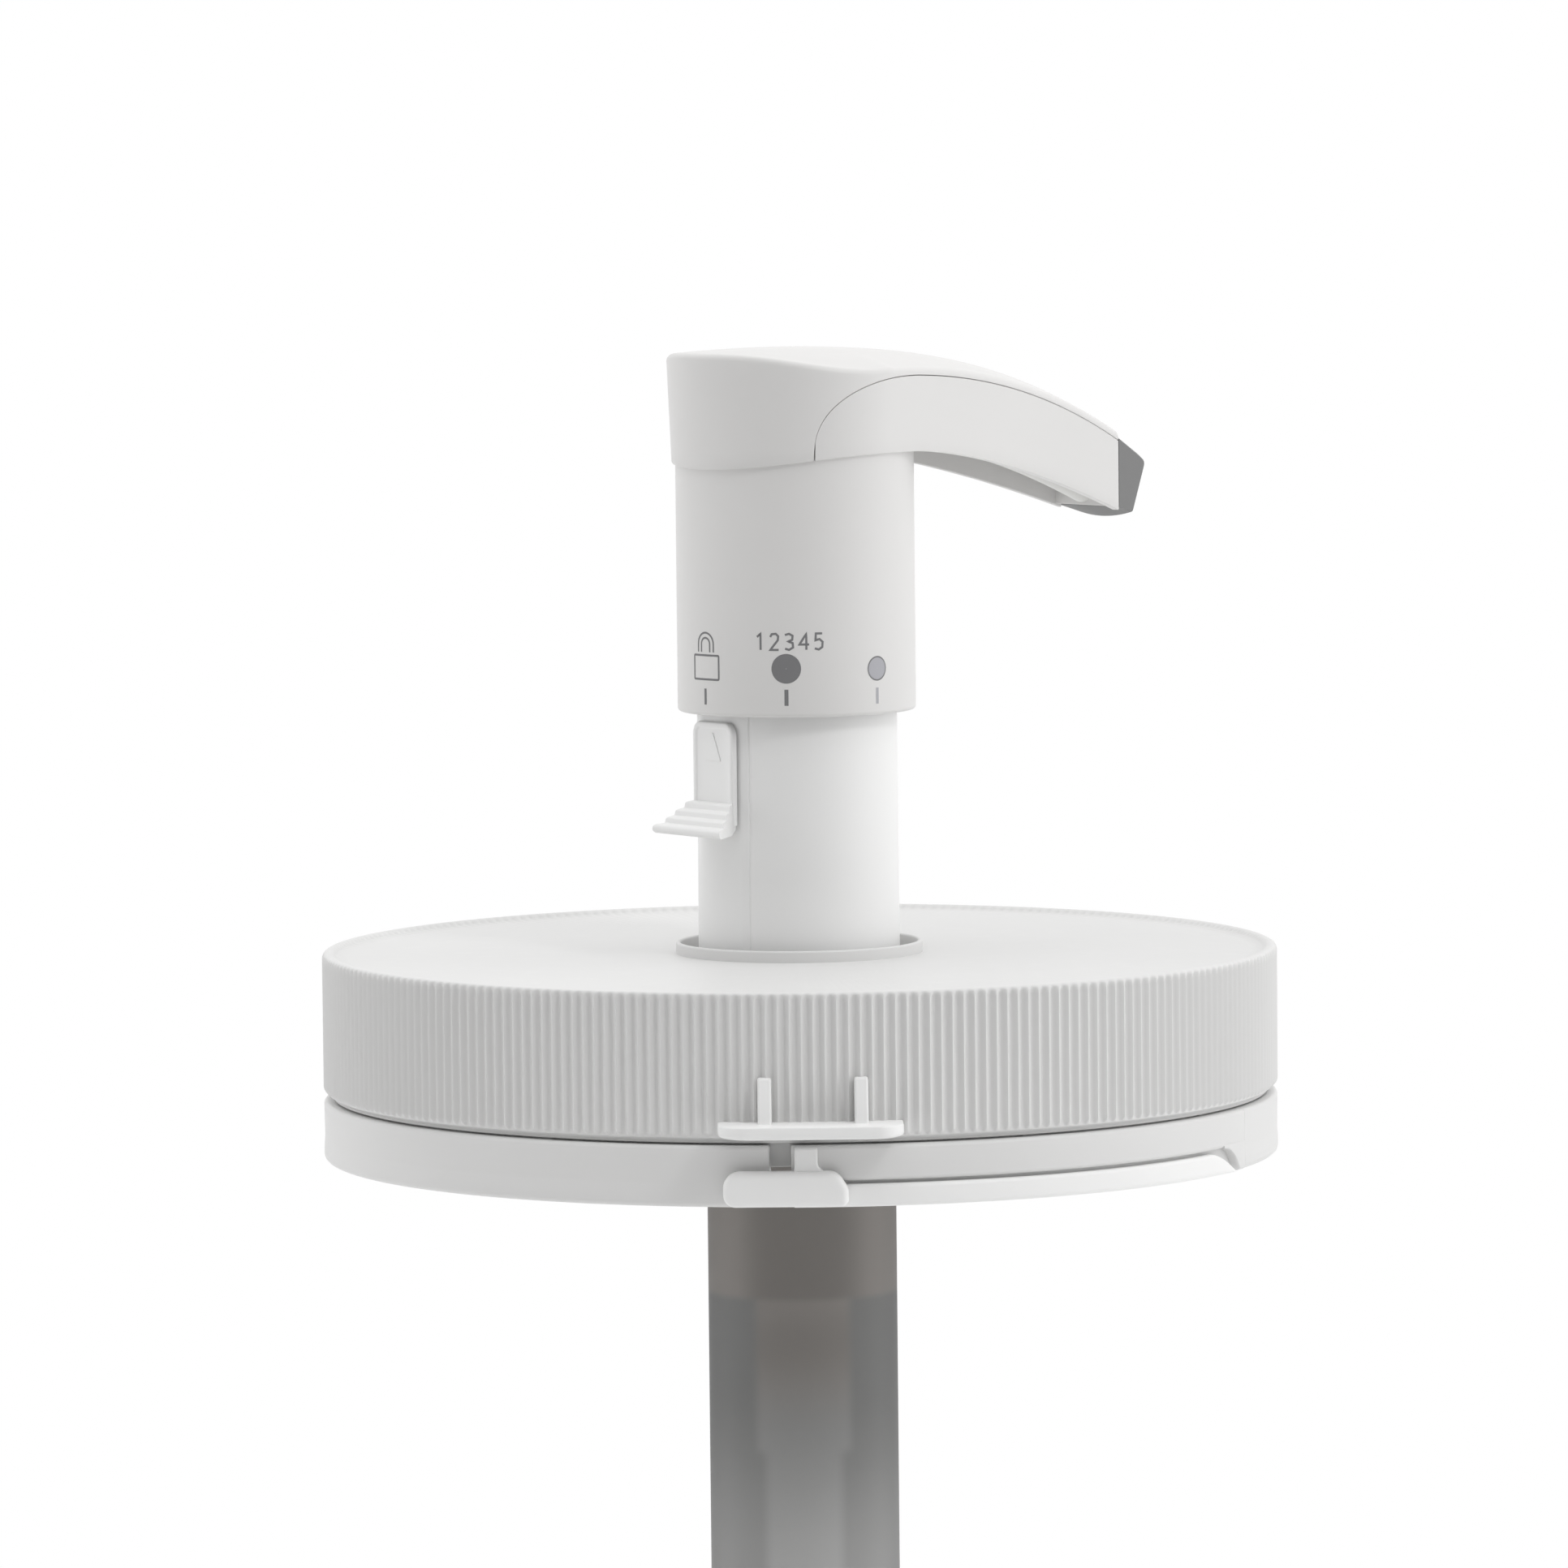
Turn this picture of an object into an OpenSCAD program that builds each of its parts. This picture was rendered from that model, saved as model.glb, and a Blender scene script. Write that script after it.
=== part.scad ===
// Hand dispenser pump on a wide screw lid.
// Millimetres, +Z up. The origin is on the pump's axis, in the plane of the lid's sealing face.
// The head is drawn along its own +X and then turned to the side that it faces at rest.

/* [Lid] */
// Outer diameter of the lid over its grip ribs
lid_d = 120; // [110:1:130]
// Depth of the skirt below the sealing face
lid_skirt_h = 14.3; // [12:0.1:18]
// Thickness of the lid's top plate
lid_plate_t = 2.1; // [1.5:0.1:3]
// Thickness of the skirt behind the ribs
lid_wall = 2.6; // [2:0.1:3.5]
// Depth of each grip rib
rib_depth = 0.55; // [0.3:0.05:0.8]
// Number of grip ribs
rib_count = 264; // [60:4:280]
// Width of the raised lip round the lid's top
lip_w = 1.1; // [0.8:0.1:2]
// Height of the lip above the top plate
lip_h = 0.5; // [0.3:0.1:1]
// Outer radius of the rim round the pump hole
rim_r = 15.5; // [15.4:0.05:16]
// Wall of that rim
rim_wall = 0.6; // [0.5:0.1:0.8]
// Height of that rim above the top plate
rim_h = 1.45; // [1:0.05:2]
// Inner radius of the socket under the lid that takes the column's flange
boss_r = 19; // [18.8:0.1:22]
// Wall of that socket
boss_wall = 1.8; // [1.4:0.1:2.5]
// Depth of that socket below the sealing face
boss_h = 8; // [6.5:0.1:10]
// Number of thread lugs inside the skirt
lug_count = 6; // [3:1:8]
// Angle that one thread lug spans
lug_span = 46; // [20:1:58]
// Height of a thread lug
lug_h = 1.8; // [1.2:0.1:2.5]
// Depth of a thread lug, from the skirt's inner wall
lug_depth = 1.2; // [0.8:0.1:1.8]
// Drop from the sealing face to the top of the lugs
lug_drop = 5.2; // [4:0.1:8]
// Thickness of the sealing liner
liner_t = 1.2; // [0.8:0.1:2]
// Width of the sealing liner's ring
liner_w = 9; // [6:0.5:12]

/* [Ledge and tear band] */
// Direction of the finger ledge, in degrees round from the front
ledge_turn = 1; // [-5:1:5]
// Width of the finger ledge on the lid
ledge_w = 22.4; // [18:0.2:26]
// Reach of the finger ledge beyond the ribs
ledge_reach = 5.6; // [4:0.2:8]
// Thickness of the finger ledge
ledge_t = 1.8; // [1.4:0.1:3]
// Height of the two gussets on the finger ledge
gusset_h = 5.1; // [3:0.1:7]
// Width of each gusset
gusset_w = 1.8; // [1.2:0.1:2.4]
// Distance between the two gussets
gusset_gap = 11.8; // [8:0.1:14]
// Height of the tamper band
band_h = 6.9; // [6:0.1:8]
// Wall of the tamper band
band_wall = 2.2; // [1.8:0.1:2.6]
// Gap between the lid's skirt and the tamper band
band_gap = 0.5; // [0.3:0.1:1]
// Reach of the skirt's thin inner lip down behind the band
guard_h = 1; // [0.6:0.1:1.5]
// Number of thin bridges that join the band to the skirt
bridge_count = 12; // [6:1:24]
// Width of the split in the band beside the tear tab
band_split = 2.4; // [1:0.1:3]
// Height of the tear strip along the band's lower edge
strip_h = 2.7; // [2.2:0.1:3.6]
// Angle that the tear strip runs to the right of its tab
strip_span = 60; // [30:1:90]
// Width of the tear tab's crossbar
tab_w = 14.8; // [12:0.2:18]
// Height of the tear tab's crossbar
tab_h = 4.2; // [3:0.1:5]
// Shift of the crossbar to the left of the strip's end
tab_shift = 8; // [6:0.1:9]
// Thickness of the tear tab
tab_t = 1.9; // [1.4:0.1:2.4]
// Width of the tear tab's stem
tab_stem_w = 3.2; // [2.4:0.1:4]

/* [Column] */
// Outer radius of the column
column_r = 12.5; // [12.2:0.05:12.5]
// Wall of the column
column_wall = 1.6; // [1.4:0.1:1.7]
// Height of the column above the sealing face
column_h = 50; // [44:0.5:60]
// Outer radius of the column's flange
flange_r = 18.6; // [17.5:0.1:18.7]
// Thickness of the column's flange
flange_t = 1.8; // [1.2:0.1:2]
// Thickness of the gasket on that flange
gasket_t = 0.6; // [0.4:0.1:0.6]
// Angle that the raised rail on the column spans
rail_span = 50; // [44:1:60]
// Angle from the arm's back to the rail's middle, degrees
rail_shift = 3; // [0:0.5:6]
// Height of the rail above the column's surface
rail_t = 0.2; // [0.1:0.05:0.25]
// Drop from the column's top to the rail's top
rail_drop = 18.8; // [17.5:0.1:20]
// Corner radius at the rail's top
rail_corner = 1.4; // [0.5:0.1:2]
// Height of the guide bush in the column's top
bush_h = 6; // [4:0.5:8]
// Thickness of the guide bush's flange
bush_flange_t = 1.2; // [0.8:0.1:1.5]
// Wall of the nut that clamps the column
nut_wall = 2.4; // [2:0.1:3]
// Thickness of that nut's floor
nut_floor_t = 1.8; // [1.4:0.1:2.4]
// Number of grips round that nut
nut_grips = 12; // [6:1:18]

/* [Stop slider] */
// Half the width of the slider's plate
plate_half_w = 4.2; // [3.6:0.1:4.2]
// Distance of the plate's outer face from the axis
plate_r = 13.1; // [13:0.05:13.1]
// Drop from the column's top to the plate's top
plate_drop = 16.8; // [16.6:0.1:17.5]
// Height of the plate above the finger ledge
plate_h = 10.4; // [9.4:0.1:10.5]
// Corner radius of the plate
plate_corner = 1.6; // [0.8:0.1:2]
// Width of the raised border of the plate
border_w = 0.7; // [0.5:0.1:1]
// Depth of the field inside the border
border_t = 0.15; // [0.1:0.05:0.2]
// Half the width of the finger ledge at its tip
wing_half_w = 7.6; // [6:0.1:8]
// Reach of the finger ledge beyond the plate
wing_reach = 4; // [3:0.1:5]
// Drop of the finger ledge from its root to its lip
wing_drop = 3; // [2:0.1:3.4]
// Thickness of the finger ledge at its lip
wing_t = 1.1; // [0.8:0.1:1.4]
// Number of steps on the finger ledge
wing_steps = 4; // [3:1:5]
// Travel of the slider down the rail
slider_travel = 6; // [4:0.5:6]
// Half the width of the tongue behind the plate
tongue_half_w = 1.9; // [1.4:0.1:2.2]
// Height of that tongue
tongue_h = 5; // [3.5:0.1:5]
// Half the width of the hook on the tongue's inner end
hook_half_w = 3; // [2.6:0.1:3.2]
// Thickness of that hook
hook_t = 0.8; // [0.6:0.1:1]

/* [Sleeve and head] */
// Outer radius of the sleeve
sleeve_r = 14.95; // [14.95:0.05:15]
// Wall of the sleeve
sleeve_wall = 1.05; // [0.95:0.05:1.05]
// Drop from the column's top to the sleeve's lower edge
sleeve_drop = 16.2; // [16:0.1:16.4]
// Height that the spigot of the sleeve reaches up inside the head
spigot_h = 0.75; // [0.5:0.05:0.8]
// Wall of that spigot
spigot_wall = 0.5; // [0.4:0.05:0.5]
// Outer radius of the head
head_r = 15.6; // [15.5:0.05:15.8]
// Wall of the head and of the arm's sides
head_wall = 1.1; // [1:0.05:1.1]
// Wall of the head's top
top_wall = 1.6; // [1.2:0.1:1.8]
// Height of the head's highest point above the column's top
head_rise = 29.3; // [28.8:0.1:30]
// Height of the highest point of the head's lower edge above the column's top
head_low_rise = 16.25; // [16:0.05:16.5]
// Drop of the head's lower edge at its back
back_drop = 1.8; // [1:0.1:2]
// Drop of the crowned top from its ridge to its sides
crown_drop = 2.8; // [2:0.1:3]
// The same drop at the arm's end
crown_drop_tip = 1.5; // [1.2:0.1:2]

/* [Arm and nozzle] */
// Direction that the arm faces at rest, in degrees round from +X
arm_turn = 39; // [35:1:45]
// Angle by which each side of the arm draws in
arm_taper = 11.5; // [10.5:0.1:12]
// Distance from the axis to the joint between arm and nozzle
arm_len = 48.4; // [47:0.1:50]
// Fall of the arm's ridge from the axis to the joint
ridge_fall = 10.7; // [10:0.1:11.5]
// Fall of the arm's lower edge from the head to the joint
low_fall = 9.2; // [8.5:0.1:9.8]
// Height of the seam below the edge of the crowned top
seam_drop = 0.75; // [0.6:0.05:1]
// Thickness of the web that joins the arm's sides
web_t = 1.2; // [0.9:0.1:1.4]
// Length of the nozzle's side beyond the joint
nozzle_len = 5.7; // [4.5:0.1:6]
// Height of the nozzle's nose above its lower edge
nozzle_nose = 6.7; // [6:0.1:7.5]
// Depth of the nozzle's lower face below the arm's end
nozzle_drop = 1; // [0.6:0.1:1.4]
// Distance by which the nozzle's lower front edge stands back from its nose
nozzle_lean = 2.1; // [1.5:0.1:2.5]
// Radius of the spout tube
spout_r = 3; // [2.6:0.1:3.2]
// Wall of the spout tube
spout_wall = 0.9; // [0.7:0.1:1]
// Angle that the spout tube bends through
spout_bend = 25; // [24:0.5:26]
// Height of the spout tube's middle above the column's top, at the axis
spout_rise = 21.4; // [21.1:0.1:21.8]
// Radius of the nozzle's outlet
outlet_r = 1.6; // [1.2:0.1:1.8]

/* [Rod, valves and cylinder] */
// Outer radius of the piston rod
rod_r = 5; // [4.6:0.1:5.2]
// Wall of the piston rod
rod_wall = 2.6; // [2:0.1:2.7]
// Height of the rod's top above the column's top
rod_rise = 18; // [17.5:0.1:18.1]
// Stroke of the pump
stroke = 10.2; // [6:0.1:10.3]
// Outer radius of the valve housing on the rod
housing_r = 6.1; // [5.8:0.1:6.6]
// Depth of the valve housing's top below the sealing face
housing_top = 22; // [18:0.5:24]
// Depth of the valve housing's lower end below the sealing face
housing_low = 58.5; // [56:0.5:62]
// Angle that the clip round the rod's top spans
clip_span = 300; // [240:5:320]
// Radius of the discharge ball
discharge_ball_r = 3; // [2.6:0.1:3.2]
// Depth of the discharge ball below the sealing face
discharge_ball_drop = 44.8; // [44:0.1:46]
// Outer radius of the pump cylinder
cylinder_r = 11.9; // [11.7:0.1:12.1]
// Wall of the pump cylinder
cylinder_wall = 1; // [0.8:0.1:1.1]
// Depth of the pump cylinder's lower end below the sealing face
cylinder_low = 165; // [160:1:220]
// Outer radius of the collar at the cylinder's top
cylinder_collar_r = 16; // [14.5:0.1:17]
// Thickness of that collar
cylinder_collar_t = 2; // [1.4:0.1:2.4]
// Outer radius of the guide sleeve inside the cylinder
guide_r = 10.5; // [10.2:0.1:10.6]
// Wall of the guide sleeve
guide_wall = 1.2; // [1:0.1:1.6]
// Depth of the guide sleeve's lower end below the sealing face
guide_low = 39.4; // [38:0.1:42]
// Thickness of the guide sleeve's lower web
guide_web_t = 2; // [1.5:0.1:3]
// Height that the guide sleeve reaches up inside the column
guide_up = 6; // [4:0.5:8]
// Thickness of the wiper that seals the valve housing
wiper_t = 2.4; // [1.6:0.1:3]
// Height of the piston
piston_h = 12; // [9:0.5:15]
// Distance from the cylinder's lower end up to the piston's lower face
piston_up = 36; // [35.5:0.5:44]
// Height of the piston's seal
piston_seal_h = 3; // [2:0.1:4]
// Height of the foot valve's seat
foot_h = 9; // [7:0.5:10]
// Radius of the foot's inlet
inlet_r = 4.6; // [4:0.1:5]
// Depth of that inlet's straight bore
inlet_h = 4.5; // [3.5:0.1:5]
// Radius of the inlet ball
inlet_ball_r = 5; // [4.6:0.1:5.2]
// Lift of the inlet ball
inlet_lift = 2.4; // [1.5:0.1:2.6]
// Lift of the discharge ball
discharge_lift = 2.4; // [1.5:0.1:2.6]
// Number of posts in the foot valve's cage
cage_posts = 4; // [3:1:6]

/* [Return spring] */
// Mean radius of the spring's coil
spring_r = 7.4; // [7:0.1:8]
// Radius of the spring's wire
spring_wire_r = 0.7; // [0.5:0.05:0.8]
// Number of curls
spring_curls = 9; // [7:1:12]
// Thickness of the collar that the spring pushes up
spring_collar_t = 2; // [1.5:0.1:3]

/* [Fits] */
// Radial clearance of a fit where one piece runs in another
run_gap = 0.08; // [0.05:0.01:0.1]
// Clearance between pieces that are pushed together
fit_gap = 0.05; // [0.03:0.01:0.1]
// Clearance between pieces that pass each other
pass_gap = 0.3; // [0.2:0.05:0.3]
// Width of a visible seam
seam_gap = 0.12; // [0.08:0.01:0.2]

/* [Hidden] */
$fn = 96;
// One overrun for every cut
over = 1;
// A width that reaches past the whole head
wide = 4 * head_r;

// Lid heights and radii
lid_r = lid_d / 2;
skirt_r = lid_r - rib_depth;
lid_inner_r = skirt_r - lid_wall;
panel_z = liner_t + lid_plate_t;
lip_z = panel_z + lip_h;
rib_top = lip_z - lip_w;
rib_low = -(lid_skirt_h - lip_w);
cove_r = skirt_r - rib_depth;
lug_crest_r = lid_inner_r - lug_depth;
liner_r = lug_crest_r - pass_gap;
rim_inner_r = rim_r - rim_wall;
band_top = -(lid_skirt_h + band_gap);
band_low = band_top - band_h;
band_inner_r = lid_r - band_wall;
guard_r = band_inner_r - pass_gap;
guard_low = band_top - guard_h;
strip_gap = pass_gap / 2;
strip_root_r = band_inner_r + band_wall / 2;
strip_gap_turn = strip_gap / lid_r * 180 / PI;
stem_turn = (tab_stem_w + 3 * strip_gap) / lid_r * 180 / PI;
band_turn_gap = band_split / lid_r * 180 / PI;
strip_top = band_low + strip_h;
strip_drop = lug_depth / 3;
ledge_top = rib_low + ledge_t + lip_h / 4;
ledge_corner = ledge_reach / 2;
gusset_foot_r = lid_r + ledge_reach / 2;
tab_turn = ledge_turn - band_turn_gap;

// Stack under the lid's plate
gasket_low = liner_t - gasket_t;
flange_low = gasket_low - flange_t;
column_in_r = column_r - column_wall;
cylinder_in_r = cylinder_r - cylinder_wall;
guide_flange_t = cylinder_collar_t / 2;
collar_low = flange_low - cylinder_collar_t;
boss_out_r = boss_r + boss_wall;
nut_in_r = boss_out_r + pass_gap;
nut_r = nut_in_r + nut_wall;
nut_top = -lid_plate_t / 2;
nut_floor = -(boss_h + pass_gap);
nut_hole_r = cylinder_r + pass_gap;

// Heights that follow the column's top
head_top = column_h + head_rise;
head_low = column_h + head_low_rise;
sleeve_bottom = column_h - sleeve_drop;
spigot_top = head_low + spigot_h;
spout_z = column_h + spout_rise;
rod_top = column_h + rod_rise;
rail_top = column_h - rail_drop;
plate_top = column_h - plate_drop;

// The slider and its rail
rail_turn = arm_turn + 180 - rail_shift;
rail_r = column_r + rail_t;
plate_back_r = rail_r + run_gap;
hook_r = column_in_r - pass_gap;
wing_top = plate_top - plate_h;
wing_low = wing_top - wing_drop - wing_t;
tongue_top = plate_top - plate_corner;
slot_half_w = tongue_half_w + pass_gap / 2;
slot_top = tongue_top + pass_gap;
slot_low = tongue_top - tongue_h - slider_travel - pass_gap;

// The head
sleeve_in_r = sleeve_r - sleeve_wall;
head_in_r = head_r - head_wall;
taper_tan = tan(arm_taper);
taper_cos = cos(arm_taper);
ridge_start = -head_r / 8;
nozzle_end = arm_len + nozzle_len;
grid_end = nozzle_end + over;
low_start = head_r / 4;
low_bend = head_r / 2;
seam_back = -head_r / 2;
seam_bend = head_r * 3 / 8;
seam_rise = head_r * 5 / 12;
ridge_power_share = 2.3;
low_power_share = 1.6;
back_dip = crown_drop / 7;
boss_low = column_h + bush_flange_t + stroke + over;
elbow_r = housing_r + rod_wall - pass_gap;
elbow_top = spout_z + spout_r + spout_wall - pass_gap;
spout_bend_r = arm_len / sin(spout_bend);
spout_centre_z = spout_z - spout_bend_r;
spout_in_r = spout_r - spout_wall;
socket_turn = asin((rod_r + pass_gap) / spout_bend_r);
tube_turn = asin((rod_r + pass_gap + fit_gap) / spout_bend_r);
tube_back_turn = asin(rod_r / spout_bend_r);
over_turn = asin(over / spout_bend_r);
low_joint = head_low - low_fall;
spout_end_z = spout_centre_z + spout_bend_r * cos(spout_bend);

// The rod and its valves
rod_in_r = rod_r - rod_wall;
bush_low = column_h - bush_h;
collar_top = bush_low - fit_gap;
spring_top = collar_top - spring_collar_t;
spring_low = guide_up;
clip_h = spring_collar_t / 2;
clip_z = boss_low + spring_collar_t;
groove_r = rod_r - rod_wall / 4;
clip_r = rod_r + rod_wall / 2;
seat_share = 0.6;
housing_in_r = discharge_ball_r + rod_wall / 2;
rod_low = -(discharge_ball_drop - discharge_ball_r - discharge_lift - fit_gap);
seat_hole_r = discharge_ball_r * seat_share;
seat_cone_h = discharge_ball_r * sin(45) - seat_hole_r + fit_gap;
seat_low = seat_cone_h - (discharge_ball_drop + 2 * discharge_ball_r * sin(45) - seat_hole_r + fit_gap);
seat_h = seat_cone_h + rod_wall / 4;
piston_low = -cylinder_low + piston_up;
piston_top = piston_low + piston_h;
hub_r = rod_r + rod_wall;
piston_r = cylinder_in_r - pass_gap;
piston_seal_z = piston_low + (piston_h - piston_seal_h) / 2;
foot_hole_r = inlet_ball_r * seat_share;
foot_cone_z = -cylinder_low + inlet_h + over;
inlet_ball_z = foot_cone_z + inlet_ball_r * sin(45) * 2 - foot_hole_r + fit_gap;
cage_low = -cylinder_low + foot_h;
cage_in_r = inlet_ball_r + pass_gap * 2;
cage_top = inlet_ball_z + inlet_ball_r * sin(acos(seat_share)) + inlet_lift + fit_gap;

// The spring's wire along its helix
wire_sides = 6;
wire_rings = 8;
wire_span = spring_top - spring_low - 2 * (spring_wire_r + fit_gap);
wire_count = spring_curls * wire_rings;
function wire_middle(i) = [
    spring_r * cos(360 * i / wire_rings), spring_r * sin(360 * i / wire_rings),
    spring_low + spring_wire_r + fit_gap + wire_span * i / wire_count
];
function wire_along(i) =
    let (d = wire_middle(i + 1 / wire_rings) - wire_middle(i - 1 / wire_rings)) d / norm(d);
function wire_out(i) = [cos(360 * i / wire_rings), sin(360 * i / wire_rings), 0];
wire_points = [
    for (i = [0:wire_count]) for (k = [0:wire_sides - 1])
        let (a = 360 * k / wire_sides)
            wire_middle(i)
                + spring_wire_r * (cos(a) * wire_out(i) + sin(a) * cross(wire_along(i), wire_out(i)))
];
wire_faces = [
    [for (k = [0:wire_sides - 1]) k],
    for (i = [0:wire_count - 1]) for (k = [0:wire_sides - 1])
        let (a = i * wire_sides + k, b = i * wire_sides + (k + 1) % wire_sides) each [
            [a, a + wire_sides, b + wire_sides],
            [a, b + wire_sides, b]
        ],
    [for (k = [wire_sides - 1:-1:0]) wire_count * wire_sides + k]
];
echo(least_gap_of_spring = wire_span / spring_curls - 2 * spring_wire_r);

// The ridge's height above the sealing face, at s along the arm
function ridge(s) =
    s > ridge_start
        ? head_top - ridge_fall * pow((s - ridge_start) / (arm_len - ridge_start), ridge_power_share)
        : head_top - back_dip * pow((ridge_start - s) / (head_r + ridge_start), 2);
// The head's lower edge at s along the arm
function low_edge(s) =
    s < low_start ? head_low - back_drop * pow((low_start - s) / (head_r + low_start), 2)
    : s < low_bend ? head_low
    : head_low - low_fall * pow((s - low_bend) / (arm_len - low_bend), low_power_share);
// Half the arm's width at s, kept full over the head itself
function half_width(s) = s < head_r * sin(arm_taper) ? head_r : head_r / taper_cos - s * taper_tan;
function crown(s) = s < 0 ? crown_drop : crown_drop - (crown_drop - crown_drop_tip) * s / arm_len;
// The crowned top at s along the arm and t across it
function top_at(s, t) = ridge(s) - crown(s) * pow(t / half_width(s), 2);
// The seam between the cover and the arm, at s along the arm
function seam(s) = top_at(s, half_width(s)) - seam_drop;

// A closed block under the crowned top lowered by drop, from floor_z up
module under_top(drop, floor_z) {
    m = 26;
    n = 10;
    s0 = -head_r - over;
    function s_at(i) = s0 + (grid_end - s0) * i / m;
    function t_at(i, j) = (half_width(s_at(i)) + over) * (2 * j / n - 1);
    tops = [for (i = [0:m]) for (j = [0:n]) [s_at(i), t_at(i, j), top_at(s_at(i), t_at(i, j)) - drop]];
    lows = [for (i = [0:m]) for (j = [0:n]) [s_at(i), t_at(i, j), floor_z]];
    base = len(tops);
    function at(i, j) = i * (n + 1) + j;
    faces = [
        for (i = [0:m - 1]) for (j = [0:n - 1]) each [
            [at(i, j), at(i, j + 1), at(i + 1, j + 1)],
            [at(i, j), at(i + 1, j + 1), at(i + 1, j)]
        ],
        [for (i = [0:m]) base + at(i, 0), for (j = [1:n]) base + at(m, j),
            for (i = [m - 1:-1:0]) base + at(i, n), for (j = [n - 1:-1:1]) base + at(0, j)],
        for (i = [0:m - 1]) each [
            [at(i, 0), at(i + 1, 0), base + at(i + 1, 0)],
            [at(i, 0), base + at(i + 1, 0), base + at(i, 0)],
            [at(i + 1, n), at(i, n), base + at(i, n)],
            [at(i + 1, n), base + at(i, n), base + at(i + 1, n)]
        ],
        for (j = [0:n - 1]) each [
            [at(0, j + 1), at(0, j), base + at(0, j)],
            [at(0, j + 1), base + at(0, j), base + at(0, j + 1)],
            [at(m, j), at(m, j + 1), base + at(m, j + 1)],
            [at(m, j), base + at(m, j + 1), base + at(m, j)]
        ]
    ];
    polyhedron(points = concat(tops, lows), faces = faces);
}

// The outline of head and arm seen from above, for a head of radius r: an arc and its two tangents
module plan(r, end) {
    n = 40;
    polygon([
        for (i = [0:n])
            let (a = 90 - arm_taper + (180 + 2 * arm_taper) * i / n) [r * cos(a), r * sin(a)],
        [end, -(r / taper_cos - end * taper_tan)],
        [end, r / taper_cos - end * taper_tan]
    ]);
}

// A side outline in the arm's own plane, drawn out across the whole head
module side_block(points, width = wide) {
    translate([0, width / 2, 0])
        rotate([90, 0, 0])
            linear_extrude(width)
                polygon(points);
}

// Points along a curve f between two stations
function curve_points(f, from, to, n) =
    [for (i = [0:n]) let (s = from + (to - from) * i / n) [s, f(s)]];

module turned() {
    rotate([0, 0, arm_turn])
        children();
}

module ring(outer, inner, low, high) {
    translate([0, 0, low])
        difference() {
            cylinder(r = outer, h = high - low);
            translate([0, 0, -over])
                cylinder(r = inner, h = high - low + 2 * over);
        }
}

module bar(r, low, high) {
    translate([0, 0, low])
        cylinder(r = r, h = high - low);
}

// A sector of a ring that spans an angle about the +X direction
module sector(outer, inner, low, high, span) {
    translate([0, 0, low])
        rotate([0, 0, -span / 2])
            rotate_extrude(angle = span)
                translate([inner, 0])
                    square([outer - inner, high - low]);
}

module lid_cap() {
    color("white")
        union() {
            rotate_extrude()
                polygon([
                    [rim_inner_r, liner_t], [rim_inner_r, panel_z + rim_h], [rim_r, panel_z + rim_h],
                    [rim_r, panel_z], [skirt_r - lip_w - lip_h, panel_z], [skirt_r - lip_w, lip_z],
                    [skirt_r - lip_h, lip_z], [skirt_r, rib_top], [skirt_r, rib_low],
                    [cove_r, -lid_skirt_h], [guard_r, -lid_skirt_h], [guard_r, guard_low],
                    [lid_inner_r, guard_low], [lid_inner_r, liner_t]
                ]);
            grip_ribs();
            ring(boss_out_r, boss_r, -boss_h, liner_t);
            for (i = [0:lug_count - 1])
                rotate([0, 0, 360 * i / lug_count])
                    thread_lug();
            finger_ledge();
        }
}

// Upright ribs round the skirt, each with a flat crest and sloping sides
module grip_ribs() {
    step = 360 / rib_count;
    rib_shares = [0, 0.2, 0.5, 0.7];
    rib_radii = [skirt_r - rib_depth / 2, lid_r, lid_r, skirt_r - rib_depth / 2];
    translate([0, 0, rib_low])
        linear_extrude(rib_top - rib_low)
            difference() {
                polygon([
                    for (i = [0:rib_count - 1]) for (k = [0:3])
                        let (a = step * (i + rib_shares[k])) rib_radii[k] * [cos(a), sin(a)]
                ]);
                circle(skirt_r - rib_depth);
            }
}

module thread_lug() {
    rotate_extrude(angle = lug_span)
        polygon([
            [lid_inner_r + rib_depth, -lug_drop], [lid_inner_r, -lug_drop],
            [lug_crest_r, -lug_drop - lug_h / 3], [lug_crest_r, -lug_drop - lug_h * 2 / 3],
            [lid_inner_r, -lug_drop - lug_h], [lid_inner_r + rib_depth, -lug_drop - lug_h]
        ]);
}

// The shelf at the lid's front with its two gussets
module finger_ledge() {
    inner = skirt_r - rib_depth;
    rotate([0, 0, ledge_turn - 90])
        difference() {
            union() {
                translate([0, 0, ledge_top - ledge_t])
                    linear_extrude(ledge_t)
                        ledge_plan(inner);
                for (side = [-1, 1])
                    translate([0, side * gusset_gap / 2 + gusset_w / 2, ledge_top])
                        rotate([90, 0, 0])
                            linear_extrude(gusset_w)
                                polygon([
                                    [inner, -ledge_t / 2], [gusset_foot_r, -ledge_t / 2],
                                    [gusset_foot_r, 0], [lid_r + rib_depth, gusset_h], [inner, gusset_h]
                                ]);
            }
            bar(lid_inner_r + rib_depth, -lid_skirt_h, ledge_top + gusset_h + over);
        }
}

module ledge_plan(inner) {
    reach = lid_r + ledge_reach;
    translate([inner - ledge_reach, -ledge_w / 2])
        square([ledge_reach + reach - inner - ledge_corner, ledge_w]);
    translate([reach - 2 * ledge_corner, ledge_corner - ledge_w / 2])
        square([2 * ledge_corner, ledge_w - 2 * ledge_corner]);
    for (side = [-1, 1])
        translate([reach - ledge_corner, side * (ledge_w / 2 - ledge_corner)])
            circle(ledge_corner);
}

module lid_liner() {
    color("gainsboro")
        ring(liner_r, liner_r - liner_w, 0, liner_t);
}

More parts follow.
